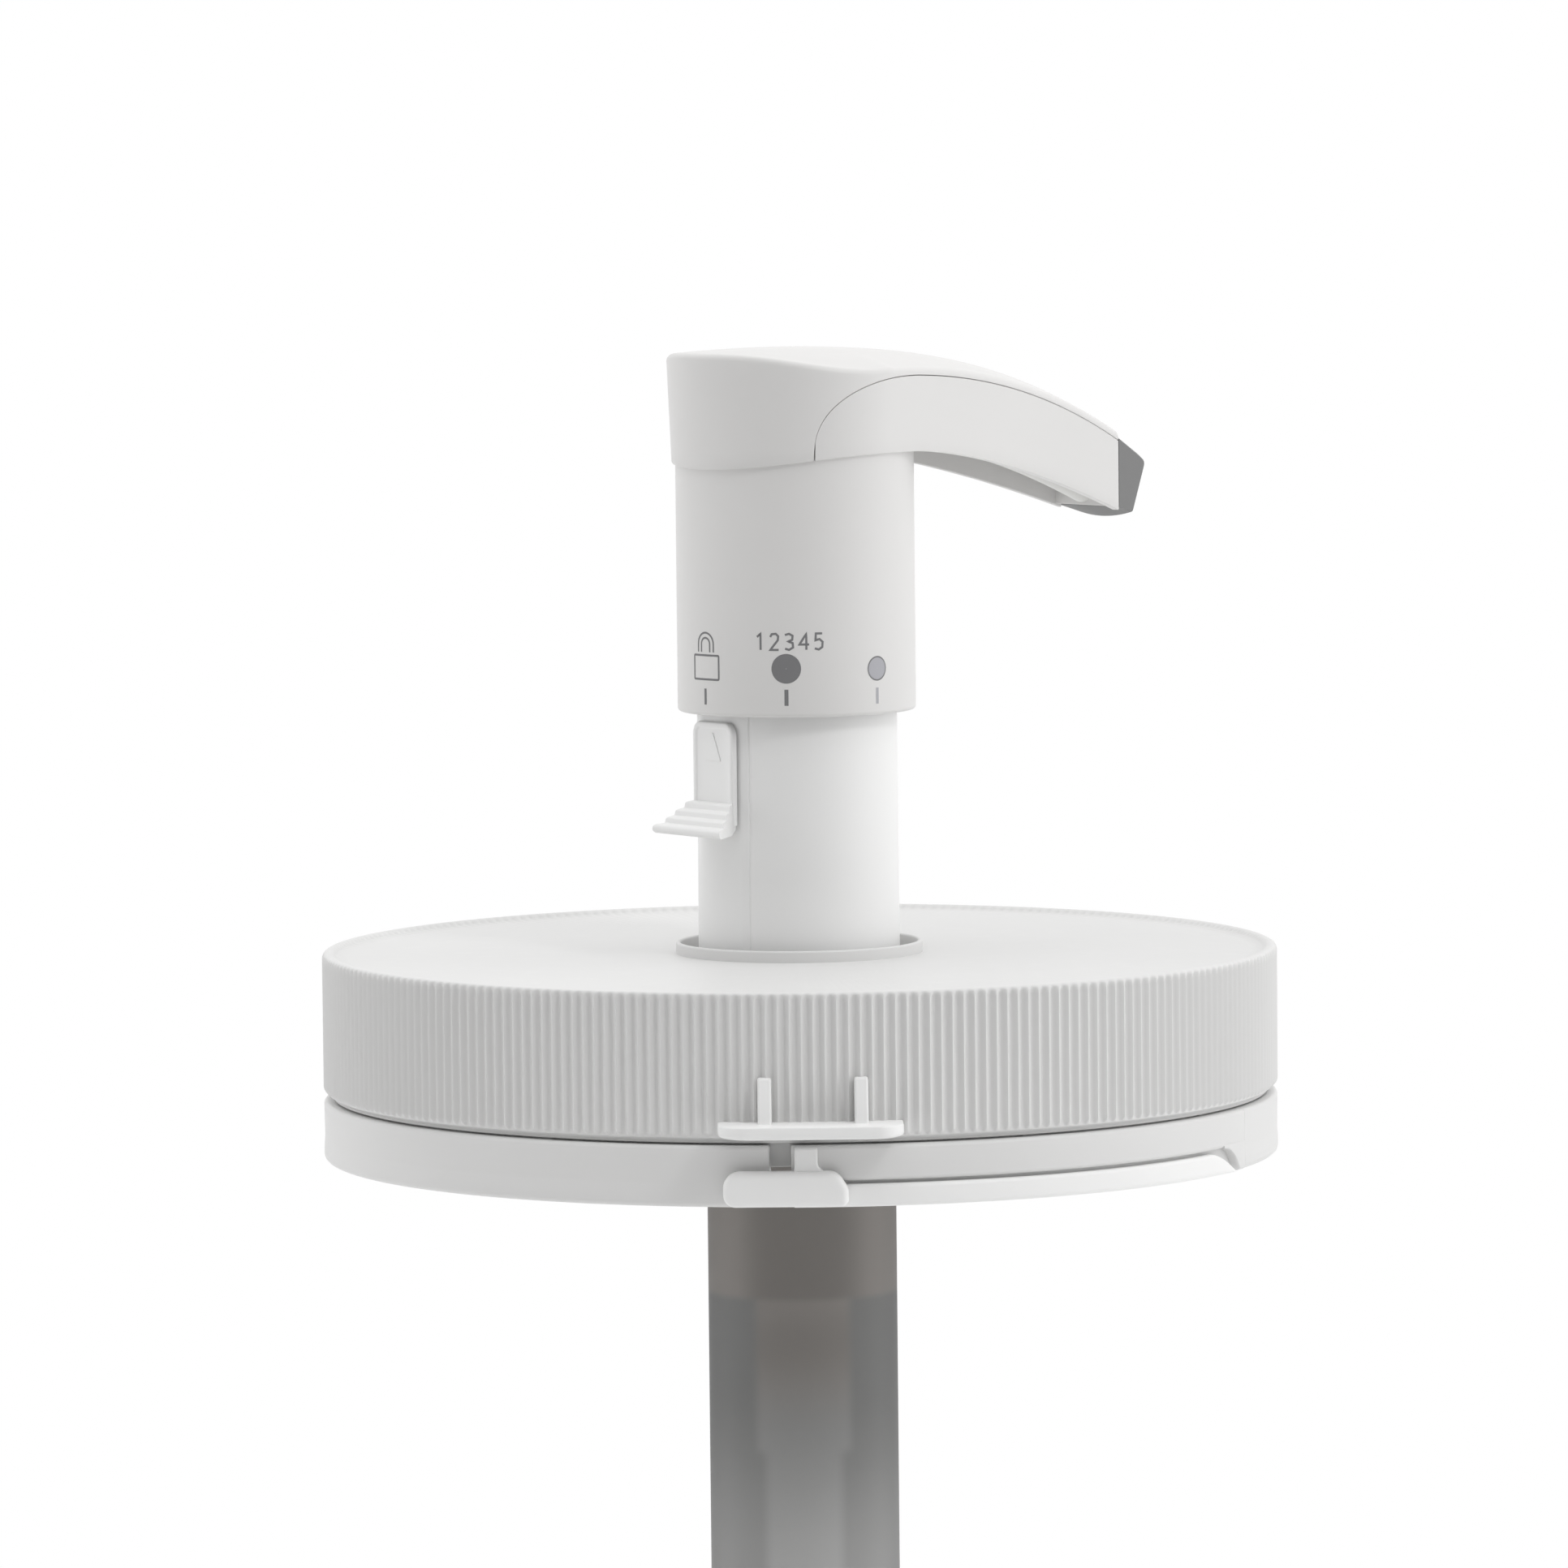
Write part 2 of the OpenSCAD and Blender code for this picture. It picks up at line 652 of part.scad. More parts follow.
module tamper_band() {
    color("white")
        difference() {
            union() {
                rotate_extrude()
                    polygon([
                        [band_inner_r, band_top], [lid_r - lip_h, band_top], [lid_r, band_top - lip_h],
                        [lid_r, band_low + 2 * lip_h], [lid_r - lip_h, band_low], [band_inner_r, band_low],
                        [band_inner_r, band_low + lug_h], [lug_crest_r, band_low + 2 * lug_h],
                        [band_inner_r, band_top - lug_h]
                    ]);
                for (i = [0:bridge_count - 1])
                    rotate([0, 0, 360 * i / bridge_count + tab_turn + strip_span / 2])
                        translate([band_inner_r + band_wall / 8, -band_wall / 4, band_top - band_gap])
                            cube([band_wall / 4, band_wall / 2, 2 * band_gap]);
            }
            // The place of the tear strip, and the split beside its tab with the room for its stem
            rotate([0, 0, tab_turn - 90])
                band_sector(strip_root_r, band_low - over, strip_top, strip_span + strip_gap_turn);
            rotate([0, 0, tab_turn - 90])
                band_sector(0, band_low - over, band_top + over, stem_turn);
        }
}

// A block that cuts the band from the split up to an angle, outside a radius
module band_sector(inner, low, high, to) {
    translate([0, 0, low])
        rotate([0, 0, -band_turn_gap])
            rotate_extrude(angle = to + band_turn_gap)
                translate([inner, 0])
                    square([lid_r + over - inner, high - low]);
}

// The strip that is torn off round the band, with its tab
module tear_strip() {
    strip_inner = strip_root_r + strip_gap;
    color("white")
        rotate([0, 0, tab_turn - 90])
            union() {
                rotate_extrude(angle = strip_span)
                    polygon([
                        [strip_inner, band_low], [lid_r - lip_h, band_low - strip_drop],
                        [lid_r + strip_drop, band_low + strip_h / 2],
                        [lid_r - lip_h / 2, strip_top - strip_gap], [strip_inner, strip_top - strip_gap]
                    ]);
                translate([lid_r + strip_gap, -tab_shift, band_low])
                    tab_bar();
                translate([strip_inner, strip_gap, band_low + tab_h / 2])
                    cube([lid_r + tab_t * 3 / 4 - strip_inner, tab_stem_w, band_h - tab_h / 2 - strip_gap]);
            }
}

module tab_bar() {
    end_r = tab_h / 2;
    translate([tab_t, 0, 0])
        rotate([90, 0, -90])
            linear_extrude(tab_t)
                union() {
                    translate([-tab_w + end_r, 0])
                        square([tab_w - 2 * end_r, tab_h]);
                    for (x = [-end_r, end_r - tab_w])
                        translate([x, end_r])
                            circle(end_r);
                }
}

module column() {
    color("white")
        difference() {
            union() {
                ring(column_r, column_in_r, flange_low, column_h);
                ring(flange_r, column_in_r, flange_low, gasket_low);
                rotate([0, 0, rail_turn])
                    rail();
            }
            rotate([0, 0, rail_turn])
                translate([column_in_r - over, -slot_half_w, slot_low])
                    cube([column_wall + rail_t + 2 * over, 2 * slot_half_w, slot_top - slot_low]);
        }
}

// The raised panel that the slider runs on, with rounded upper corners
module rail() {
    half = rail_r * sin(rail_span / 2);
    intersection() {
        sector(rail_r, column_r - rail_t, gasket_low, rail_top, rail_span);
        translate([0, 0, gasket_low])
            rotate([90, 0, 90])
                linear_extrude(rail_r + over)
                    union() {
                        translate([-half - over, 0])
                            square([2 * half + 2 * over, rail_top - gasket_low - rail_corner]);
                        translate([rail_corner - half, 0])
                            square([2 * (half - rail_corner), rail_top - gasket_low]);
                        for (side = [-1, 1])
                            translate([side * (half - rail_corner), rail_top - gasket_low - rail_corner])
                                circle(rail_corner);
                    }
    }
}

module column_gasket() {
    color("dimgray")
        ring(flange_r, rim_inner_r, gasket_low, liner_t);
}

module column_nut() {
    color("white")
        difference() {
            union() {
                ring(nut_r, nut_in_r, nut_floor - nut_floor_t, nut_top);
                ring(nut_r, nut_hole_r, nut_floor - nut_floor_t, nut_floor);
                ring(cylinder_collar_r, nut_hole_r, nut_floor, collar_low);
            }
            for (i = [0:nut_grips - 1])
                rotate([0, 0, 360 * i / nut_grips])
                    translate([nut_r + nut_wall / 2, 0, nut_floor - nut_floor_t - over])
                        cylinder(r = nut_wall, h = nut_top - nut_floor + nut_floor_t + 2 * over);
        }
}

module column_bush() {
    color("whitesmoke")
        union() {
            ring(column_in_r - fit_gap, rod_r + run_gap, bush_low, column_h);
            ring(column_r - fit_gap, rod_r + run_gap, column_h, column_h + bush_flange_t);
        }
}

module guide_sleeve() {
    color("lightgray")
        union() {
            ring(column_in_r - fit_gap, guide_r - guide_wall, flange_low, spring_low);
            ring(column_r - fit_gap, guide_r - guide_wall, flange_low - guide_flange_t, flange_low);
            ring(guide_r, guide_r - guide_wall, -guide_low, flange_low);
            ring(guide_r, housing_r + run_gap, -guide_low, guide_web_t - guide_low);
            ring(guide_r - guide_wall, rod_r + pass_gap, spring_low - spring_collar_t, spring_low);
        }
}

module rod_wiper() {
    color("dimgray")
        ring(guide_r - guide_wall - fit_gap, housing_r + run_gap, guide_web_t - guide_low,
            guide_web_t - guide_low + wiper_t);
}

module pump_cylinder() {
    color("silver", 0.5)
        difference() {
            union() {
                ring(cylinder_r, cylinder_in_r, -cylinder_low, collar_low + cylinder_collar_t);
                ring(cylinder_collar_r, cylinder_in_r, collar_low, flange_low);
            }
            bar(column_r, flange_low - guide_flange_t, flange_low + over);
        }
}

module foot_valve_seat() {
    color("whitesmoke")
        difference() {
            bar(cylinder_in_r - fit_gap, -cylinder_low, cage_low);
            bar(inlet_r, -cylinder_low - over, inlet_h - cylinder_low);
            bar(foot_hole_r, -cylinder_low, cage_low + over);
            translate([0, 0, foot_cone_z])
                cylinder(r1 = foot_hole_r, r2 = foot_hole_r + cage_low - foot_cone_z + over,
                    h = cage_low - foot_cone_z + over);
        }
}

module foot_valve_cage() {
    post_r = (cylinder_in_r - fit_gap - cage_in_r) / 2 - pass_gap;
    color("whitesmoke")
        union() {
            ring(cylinder_in_r - fit_gap, cage_in_r, cage_low, cage_low + post_r);
            for (i = [0:cage_posts - 1])
                rotate([0, 0, 360 * i / cage_posts])
                    translate([cage_in_r + pass_gap + post_r, 0, cage_low])
                        cylinder(r = post_r, h = cage_top - cage_low + post_r);
            ring(cylinder_in_r - fit_gap, foot_hole_r, cage_top, cage_top + post_r);
        }
}

module inlet_ball() {
    color("lightgray")
        translate([0, 0, inlet_ball_z])
            sphere(r = inlet_ball_r);
}

module piston_rod() {
    color("lightgray")
        difference() {
            ring(rod_r, rod_in_r, rod_low, rod_top);
            ring(rod_r + over, groove_r, clip_z, clip_z + clip_h);
            // Notches at the lower end, so that a raised ball can't close the bore
            for (a = [0, 90])
                rotate([0, 0, a])
                    translate([-rod_r - over, -rod_wall / 4, rod_low - over])
                        cube([2 * rod_r + 2 * over, rod_wall / 2, rod_wall / 2 + over]);
        }
}

module spring_collar() {
    color("whitesmoke")
        ring(spring_r + 2 * spring_wire_r, rod_r + fit_gap, spring_top, collar_top);
}

// The spring's wire: one tube along a helix
module return_spring() {
    color("silver")
        polyhedron(points = wire_points, faces = wire_faces);
}

module valve_housing() {
    color("lightgray")
        difference() {
            bar(housing_r, -housing_low, -housing_top);
            bar(rod_r + fit_gap, rod_low, over - housing_top);
            bar(housing_in_r, seat_low, rod_low + over);
            bar(rod_r + fit_gap, -housing_low - over, seat_low);
        }
}

module discharge_seat() {
    color("whitesmoke")
        difference() {
            bar(rod_r, seat_low - seat_h, seat_low);
            bar(seat_hole_r, seat_low - seat_h - over, seat_low + over);
            translate([0, 0, seat_low - seat_cone_h])
                cylinder(r1 = seat_hole_r, r2 = seat_hole_r + seat_cone_h + over, h = seat_cone_h + over);
        }
}

module discharge_ball() {
    color("silver")
        translate([0, 0, -discharge_ball_drop])
            sphere(r = discharge_ball_r);
}

module lower_rod() {
    color("lightgray")
        ring(rod_r, rod_in_r, piston_low - piston_seal_h, seat_low - seat_h);
}

module piston() {
    color("whitesmoke")
        difference() {
            bar(piston_r, piston_low, piston_top);
            bar(rod_r + fit_gap, piston_low - over, piston_top + over);
            ring(piston_r + over, piston_r - piston_seal_h / 2, piston_seal_z,
                piston_seal_z + piston_seal_h);
        }
}

module piston_seal() {
    color("dimgray")
        ring(cylinder_in_r - run_gap, piston_r - piston_seal_h / 2, piston_seal_z,
            piston_seal_z + piston_seal_h);
}

module piston_retainer() {
    color("whitesmoke")
        ring(hub_r, rod_r + fit_gap, piston_low - piston_seal_h, piston_low);
}

module swivel_clip() {
    color("silver")
        rotate([0, 0, -clip_span / 2])
            translate([0, 0, clip_z + fit_gap])
                rotate_extrude(angle = clip_span)
                    translate([groove_r, 0])
                        square([clip_r - groove_r, clip_h - 2 * fit_gap]);
}

// Everything inside the outer faces of head and arm, down to the lower edge
module head_form(r, drop, end) {
    intersection() {
        translate([0, 0, low_joint - over])
            linear_extrude(head_top)
                plan(r, end);
        under_top(drop, low_joint - 2 * over);
    }
}

low_points = curve_points(function (s) low_edge(s), -head_r - over, arm_len, 20);
module above_low_edge() {
    side_block(concat(low_points, [[arm_len, head_top + over], [-head_r - over, head_top + over]]));
}

// The arm's side below the seam. Its back edge rises from the head's lower edge and bends into the seam.
seam_points = curve_points(function (s) seam(s), seam_bend, arm_len, 14);
module arm_region(gap) {
    bend = [for (a = [90:15:180]) [
        seam_bend + gap + (seam_bend - seam_back) * cos(a),
        seam(seam_bend) - gap - seam_rise * (1 - sin(a))
    ]];
    side_block(concat(
        [[arm_len - gap, low_joint - 2 * over], [seam_back + gap, low_joint - 2 * over]],
        [for (i = [len(bend) - 1:-1:0]) bend[i]],
        [for (i = [1:len(seam_points) - 1]) [seam_points[i][0] - (i == len(seam_points) - 1 ? gap : 0),
            seam_points[i][1] - gap]]
    ));
}

module head_cover() {
    color("white")
        turned()
            difference() {
                intersection() {
                    difference() {
                        head_form(head_r, 0, arm_len);
                        head_form(head_in_r, top_wall, arm_len + over);
                    }
                    above_low_edge();
                }
                arm_region(0);
            }
}

module arm_body() {
    color("white")
        turned()
            intersection() {
                difference() {
                    intersection() {
                        head_form(head_r, top_wall + seam_gap, arm_len);
                        above_low_edge();
                    }
                    difference() {
                        head_form(head_in_r, top_wall + seam_gap + web_t, arm_len - web_t);
                        ring(elbow_r + fit_gap + web_t, elbow_r + fit_gap, low_joint, head_top);
                    }
                    spout_arc(spout_r + fit_gap, 0);
                }
                arm_region(seam_gap);
            }
}

module spout_arc(r, from, past = 0) {
    translate([0, 0, spout_centre_z])
        rotate([90, 0, 0])
            rotate([0, 0, 90 - spout_bend - past])
                rotate_extrude(angle = spout_bend + past - from)
                    translate([spout_bend_r, 0])
                        circle(r);
}

module spout_elbow() {
    color("whitesmoke")
        turned()
            difference() {
                bar(elbow_r, boss_low, elbow_top);
                bar(rod_r + run_gap, boss_low - over, rod_top + fit_gap);
                bar(spout_in_r, boss_low, spout_z + spout_wall / 2);
                ring(clip_r + run_gap, rod_r, clip_z, clip_z + clip_h);
                spout_arc(spout_r + fit_gap, socket_turn);
                spout_arc(spout_in_r, -over_turn);
            }
}

module spout_tube() {
    color("whitesmoke")
        turned()
            difference() {
                spout_arc(spout_r, tube_turn);
                spout_arc(spout_in_r, tube_back_turn, over_turn);
            }
}

// The grey end of the arm, with the outlet in its front face
module nozzle_tip() {
    nose_z = low_joint + nozzle_nose - nozzle_drop;
    color("dimgray")
        turned()
            difference() {
                intersection() {
                    head_form(head_r, 0, nozzle_end);
                    side_block([
                        [arm_len + seam_gap, low_joint], [arm_len + nozzle_drop, low_joint - nozzle_drop],
                        [nozzle_end - nozzle_lean, low_joint - nozzle_drop], [nozzle_end, nose_z],
                        [nozzle_end - nozzle_drop, nose_z + nozzle_nose / 2],
                        [arm_len + seam_gap, head_top + over]
                    ]);
                }
                along_nozzle()
                    bar(outlet_r, -over, nozzle_len + over);
                spout_arc(spout_r + fit_gap, 0);
            }
}

// Places a piece along the line on which the spout tube ends
module along_nozzle() {
    translate([arm_len, 0, spout_end_z])
        rotate([0, 90 + spout_bend, 0])
            children();
}

module outlet_valve() {
    color("gray")
        turned()
            along_nozzle()
                ring(outlet_r - fit_gap, outlet_r / 2, nozzle_len / 4, nozzle_len / 2);
}

module sleeve() {
    color("white")
        turned()
            union() {
                difference() {
                    ring(sleeve_r, sleeve_in_r, sleeve_bottom, head_low + over);
                    translate([0, 0, -seam_gap])
                        above_low_edge();
                }
                ring(sleeve_in_r + spigot_wall, sleeve_in_r, head_low - back_drop - over, spigot_top);
            }
}

// The slider: a plate with a raised border, a stepped finger ledge, and a hooked tongue behind
module stop_slider() {
    color("white")
        rotate([0, 0, rail_turn])
            union() {
                difference() {
                    union() {
                        slider_plate();
                        finger_wing();
                    }
                    bar(plate_back_r, wing_low - over, plate_top + over);
                }
                intersection() {
                    translate([hook_r - hook_t, -tongue_half_w, tongue_top - tongue_h])
                        cube([plate_r - hook_r + hook_t, 2 * tongue_half_w, tongue_h]);
                    bar(plate_back_r + rail_t, wing_low, plate_top);
                }
                sector(hook_r, hook_r - hook_t, tongue_top - tongue_h, tongue_top,
                    2 * asin(hook_half_w / hook_r));
            }
}

module slider_plate() {
    back = plate_back_r * cos(asin(plate_half_w / plate_back_r)) - rail_t;
    difference() {
        translate([back, 0, 0])
            rotate([90, 0, 90])
                linear_extrude(plate_r - back)
                    plate_outline(0);
        translate([plate_r - border_t, 0, 0])
            rotate([90, 0, 90])
                linear_extrude(border_t + over)
                    plate_outline(border_w);
    }
}

module plate_outline(inset) {
    half = plate_half_w - inset;
    corner = plate_corner - inset;
    translate([-half, wing_low + wing_t + inset])
        square([2 * half, plate_top - wing_low - wing_t - 2 * inset - corner]);
    translate([corner - half, plate_top - inset - 2 * corner])
        square([2 * (half - corner), 2 * corner]);
    for (side = [-1, 1])
        translate([side * (half - corner), plate_top - inset - corner])
            circle(corner);
}

// The flared ledge: steps that widen as they go out and down, over a rounded lip
module finger_wing() {
    step_r = wing_reach / wing_steps;
    step_z = wing_drop / wing_steps;
    for (i = [0:wing_steps - 1])
        translate([0, 0, wing_low])
            linear_extrude(wing_top - step_z * i - wing_low)
                polygon([
                    [plate_back_r * cos(asin(plate_half_w / plate_back_r)) - rail_t, -plate_half_w],
                    [plate_r + step_r * (i + 1), -wing_half(i + 1)],
                    [plate_r + step_r * (i + 1), wing_half(i + 1)],
                    [plate_back_r * cos(asin(plate_half_w / plate_back_r)) - rail_t, plate_half_w]
                ]);
}

function wing_half(i) = plate_half_w + (wing_half_w - plate_half_w) * i / wing_steps;

lid_cap();
lid_liner();
tamper_band();
tear_strip();
column();
column_gasket();
column_nut();
column_bush();
guide_sleeve();
rod_wiper();
pump_cylinder();
foot_valve_seat();
foot_valve_cage();
piston_rod();
spring_collar();
return_spring();
valve_housing();
discharge_seat();
lower_rod();
piston();
piston_seal();
piston_retainer();
swivel_clip();
head_cover();
arm_body();
spout_elbow();
spout_tube();
nozzle_tip();
outlet_valve();
sleeve();
stop_slider();
inlet_ball();
discharge_ball();
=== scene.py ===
"""Dresses the hand dispenser pump: finished surfaces, plastic and metal finishes, and a plain studio."""
import math

import bmesh
import bpy
import numpy as np
from mathutils import Matrix, Vector


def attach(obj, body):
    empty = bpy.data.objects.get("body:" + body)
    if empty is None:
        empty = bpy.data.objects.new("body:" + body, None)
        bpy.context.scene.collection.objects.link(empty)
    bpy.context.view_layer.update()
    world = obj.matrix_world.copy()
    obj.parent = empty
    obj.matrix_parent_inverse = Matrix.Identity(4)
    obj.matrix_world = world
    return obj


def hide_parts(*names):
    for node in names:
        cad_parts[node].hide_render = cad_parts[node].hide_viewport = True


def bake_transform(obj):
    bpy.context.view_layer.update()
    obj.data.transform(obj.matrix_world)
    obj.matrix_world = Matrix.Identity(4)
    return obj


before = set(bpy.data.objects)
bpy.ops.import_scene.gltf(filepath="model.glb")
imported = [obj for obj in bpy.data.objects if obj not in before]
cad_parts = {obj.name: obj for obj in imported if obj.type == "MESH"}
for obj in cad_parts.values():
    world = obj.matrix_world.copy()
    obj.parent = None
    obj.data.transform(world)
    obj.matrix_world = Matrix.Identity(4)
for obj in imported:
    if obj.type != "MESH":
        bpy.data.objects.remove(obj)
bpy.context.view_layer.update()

bl_info = {
    "name": "Hand dispenser pump",
    "version": (1, 0, 0),
    "blender": (4, 0, 0),
    "location": "3D View > Sidebar > Pump",
    "description": "Surfaces and finishes of a hand dispenser pump on a wide screw lid",
    "category": "Object",
}

MM = 0.001
TAU = 2 * math.pi
UP = (0, 0, 1)
ARM_TURN = math.radians(39)
RAIL_TURN = ARM_TURN + math.radians(177)
LEDGE_TURN = math.radians(-89)
HEAD_R = 15.6


# Properties

def length(label, note, value):
    return bpy.props.FloatProperty(name=label, description=note, default=value)


def colour(label, note, value):
    return bpy.props.FloatVectorProperty(name=label, description=note, subtype="COLOR", default=value)


class PumpLidSizes(bpy.types.PropertyGroup):
    """Sizes of the lid's grip, in millimetres."""
    crest_radius: length("Crest radius", "Radius over the grip ribs", 59.97)
    rib_depth: length("Rib depth", "Height of a grip rib over the skirt", 0.55)
    rib_count: bpy.props.IntProperty(name="Ribs", description="Number of grip ribs", default=264)


class PumpHeadSizes(bpy.types.PropertyGroup):
    """Sizes of the head and its arm, in millimetres."""
    head_radius: length("Head radius", "Radius of the head's wall", HEAD_R)
    wall: length("Wall", "Thickness of the arm's side walls", 1.1)
    seam: length("Seam", "Width of the seam between cover and arm", 0.09)
    back_round: length("Back rounding", "Radius of the top edge round the head", 0.85)
    arm_round: length("Arm rounding", "Radius of the top edge along the arm", 1.1)


class PumpColours(bpy.types.PropertyGroup):
    """Colours of the finishes."""
    white: colour("White", "Head, arm and sleeve", (0.73, 0.723, 0.715))
    lid: colour("Lid white", "Lid and tamper band", (0.71, 0.708, 0.703))
    column: colour("Column white", "Column, its rail and the slider", (0.88, 0.88, 0.875))
    # Painted highlight: a lighter copy of the lid white for the finger ledge, gussets, tear strip and tab,
    # standing in for the light these jutting parts catch
    bright: colour("Painted highlight white", "Finger ledge, tear strip and tab", (0.86, 0.86, 0.855))
    natural: colour("Natural plastic", "Inner pieces", (0.70, 0.70, 0.68))
    tube: colour("Tube", "Frosted cylinder", (0.288, 0.288, 0.286))
    tip: colour("Tip grey", "Grey end of the arm", (0.20, 0.20, 0.20))
    print_grey: colour("Print grey", "Printed marks on the sleeve", (0.19, 0.19, 0.195))
    print_pale: colour("Pale print", "The paler printed dot", (0.42, 0.42, 0.45))


def group(name):
    return getattr(bpy.context.scene, name)


# Meshes

def put_mesh(name, points_mm, faces, finish, body, nodes=(), slot=None, sharp=None):
    """An object from points in millimetres in the part's frame and a list or array of faces. Edges whose
    faces meet at more than sharp, in degrees, stay sharp."""
    mesh = bpy.data.meshes.new(name)
    points = np.asarray(points_mm, float).reshape(-1, 3) * MM
    mesh.from_pydata(points, [], [list(map(int, f)) for f in faces])
    mesh.validate()
    mesh.polygons.foreach_set("use_smooth", np.full(len(mesh.polygons), True))
    mesh.materials.append(finish)
    piece = bpy.data.objects.new(name, mesh)
    bpy.context.scene.collection.objects.link(piece)
    if nodes:
        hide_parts(*nodes)
    if body:
        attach(piece, body)
    if sharp:
        mark_sharp(piece, sharp)
    return piece


def grid_faces(rows, columns, closed_rows=False, closed_columns=False):
    """Quads of a grid stored row by row: each joins a point with the next in its row and those in the next
    row."""
    i = np.arange(rows if closed_rows else rows - 1)[:, None]
    j = np.arange(columns if closed_columns else columns - 1)[None, :]
    i2, j2 = (i + 1) % rows, (j + 1) % columns
    quads = [i * columns + j, i * columns + j2, i2 * columns + j2, i2 * columns + j]
    return np.stack(quads, axis=-1).reshape(-1, 4)


def tube_faces(rings, sides):
    """Quads between rings of points, and a face over the first and the last ring."""
    quads = [list(f) for f in grid_faces(rings, sides, closed_columns=True)]
    return quads + [list(range(sides)), [rings * sides - 1 - k for k in range(sides)]]


def turn_z(points, angle):
    """Points turned about Z: x cos a - y sin a, x sin a + y cos a."""
    c, s = math.cos(angle), math.sin(angle)
    x, y, z = points[..., 0], points[..., 1], points[..., 2]
    return np.stack([x * c - y * s, x * s + y * c, z], axis=-1)


def looking(angle):
    """The level direction out from the axis at an angle, and the one across it."""
    return (math.cos(angle), math.sin(angle), 0), (-math.sin(angle), math.cos(angle), 0)


def around(radius, angles, z):
    """Points at (radius cos a, radius sin a, z). The three may be numbers or arrays."""
    return np.stack(np.broadcast_arrays(radius * np.cos(angles), radius * np.sin(angles), z), axis=-1)


def rounded(corners, steps=5, closed=True):
    """A flat outline with its corners rounded. Each corner is (x, y, radius). Its arc touches both sides at
    radius / tan(half the corner's angle) and runs along the circle of that radius between them."""
    pts = np.asarray(corners, float)
    out = []
    last = len(pts)
    for i in range(last):
        p, rad = pts[i, :2], pts[i, 2]
        if rad <= 0 or (not closed and i in (0, last - 1)):
            out.append(p[None])
            continue
        a, b = pts[i - 1, :2] - p, pts[(i + 1) % last, :2] - p
        la, lb = np.linalg.norm(a), np.linalg.norm(b)
        a, b = a / la, b / lb
        half = math.acos(np.clip(a @ b, -1, 1)) / 2
        reach = min(rad / math.tan(half), la * 0.48, lb * 0.48)
        rad = reach * math.tan(half)
        mid = (a + b) / np.linalg.norm(a + b)
        centre = p + mid * rad / math.sin(half)
        t0, t1 = p + a * reach - centre, p + b * reach - centre
        w = np.linspace(0, 1, steps + 1)[:, None]
        arc = t0 * (1 - w) + t1 * w
        arc *= rad / np.linalg.norm(arc, axis=1, keepdims=True)
        out.append(centre + arc)
    return np.vstack(out)


def inset(outline, normal, middle, distance, share=0.0):
    """The outline moved in by a distance, then by a share of the way to the middle line."""
    p = outline - normal * np.asarray(distance, float)[..., None]
    return p + (middle - p) * share


def left_of(outline):
    """The direction to the left of a closed outline's run at each of its points."""
    run = np.roll(outline, -1, 0) - np.roll(outline, 1, 0)
    return np.stack([-run[:, 1], run[:, 0]], -1) / np.linalg.norm(run, axis=1, keepdims=True)


def lathe(profile, angles):
    """Points of a profile (radius, height) carried round Z, one row to a profile point."""
    prof = np.asarray(profile, float)
    return around(prof[:, :1], np.asarray(angles), prof[:, 1:])


def put_sector(name, profile, start, end, columns, finish, lift=None, **home):
    """A closed profile carried from one angle to another, in degrees, with both ends capped by the profile
    itself. lift, if given, maps the grid of points to moved points."""
    points = lathe(profile, np.linspace(math.radians(start), math.radians(end), columns))
    if lift:
        points = lift(points)
    rows = len(points)
    faces = [list(f) for f in grid_faces(rows, columns, closed_rows=True)]
    first = [i * columns for i in range(rows)]
    faces += [first, [i + columns - 1 for i in first][::-1]]
    return put_mesh(name, points, faces, finish, sharp=35, **home)


def put_plate(name, outline, low, high, finish, axes, bevel_mm, **home):
    """A flat outline given thickness. axes maps outline x, outline y and the thickness to the part's frame:
    point = x * ax + y * ay + h * ah."""
    ax, ay, ah = (np.asarray(v, float) for v in axes)
    flat = outline[:, :1] * ax + outline[:, 1:2] * ay
    points = np.stack([flat + low * ah, flat + high * ah])
    piece = put_mesh(name, points, tube_faces(2, len(outline)), finish, **home)
    point_outwards(piece)
    add_bevel(piece, bevel_mm)
    mark_sharp(piece, 35)
    return piece


def mark_sharp(piece, degrees):
    """Edges whose faces meet at more than the angle stay sharp."""
    piece.data.set_sharp_from_angle(angle=math.radians(degrees))


def add_bevel(piece, width_mm, degrees=30, segments=3):
    """Rounds the edges over an angle."""
    bevel = piece.modifiers.new("Rounded edges", "BEVEL")
    bevel.width = width_mm * MM
    bevel.segments = segments
    bevel.limit_method = "ANGLE"
    bevel.angle_limit = math.radians(degrees)
    bevel.use_clamp_overlap = True
    bevel.harden_normals = True


def point_outwards(piece):
    """Recalculates the faces of a closed piece so that they point outwards."""
    work = bmesh.new()
    work.from_mesh(piece.data)
    bmesh.ops.recalc_face_normals(work, faces=work.faces)
    work.to_mesh(piece.data)
    work.free()


def weld(piece, distance_mm=0.002):
    """Merges the points that lie on each other, so that seams and poles are closed."""
    work = bmesh.new()
    work.from_mesh(piece.data)
    bmesh.ops.remove_doubles(work, verts=work.verts, dist=distance_mm * MM)
    work.to_mesh(piece.data)
    work.free()


def smooth_step(t):
    t = np.clip(t, 0, 1)
    return t * t * (3 - 2 * t)


# The lid

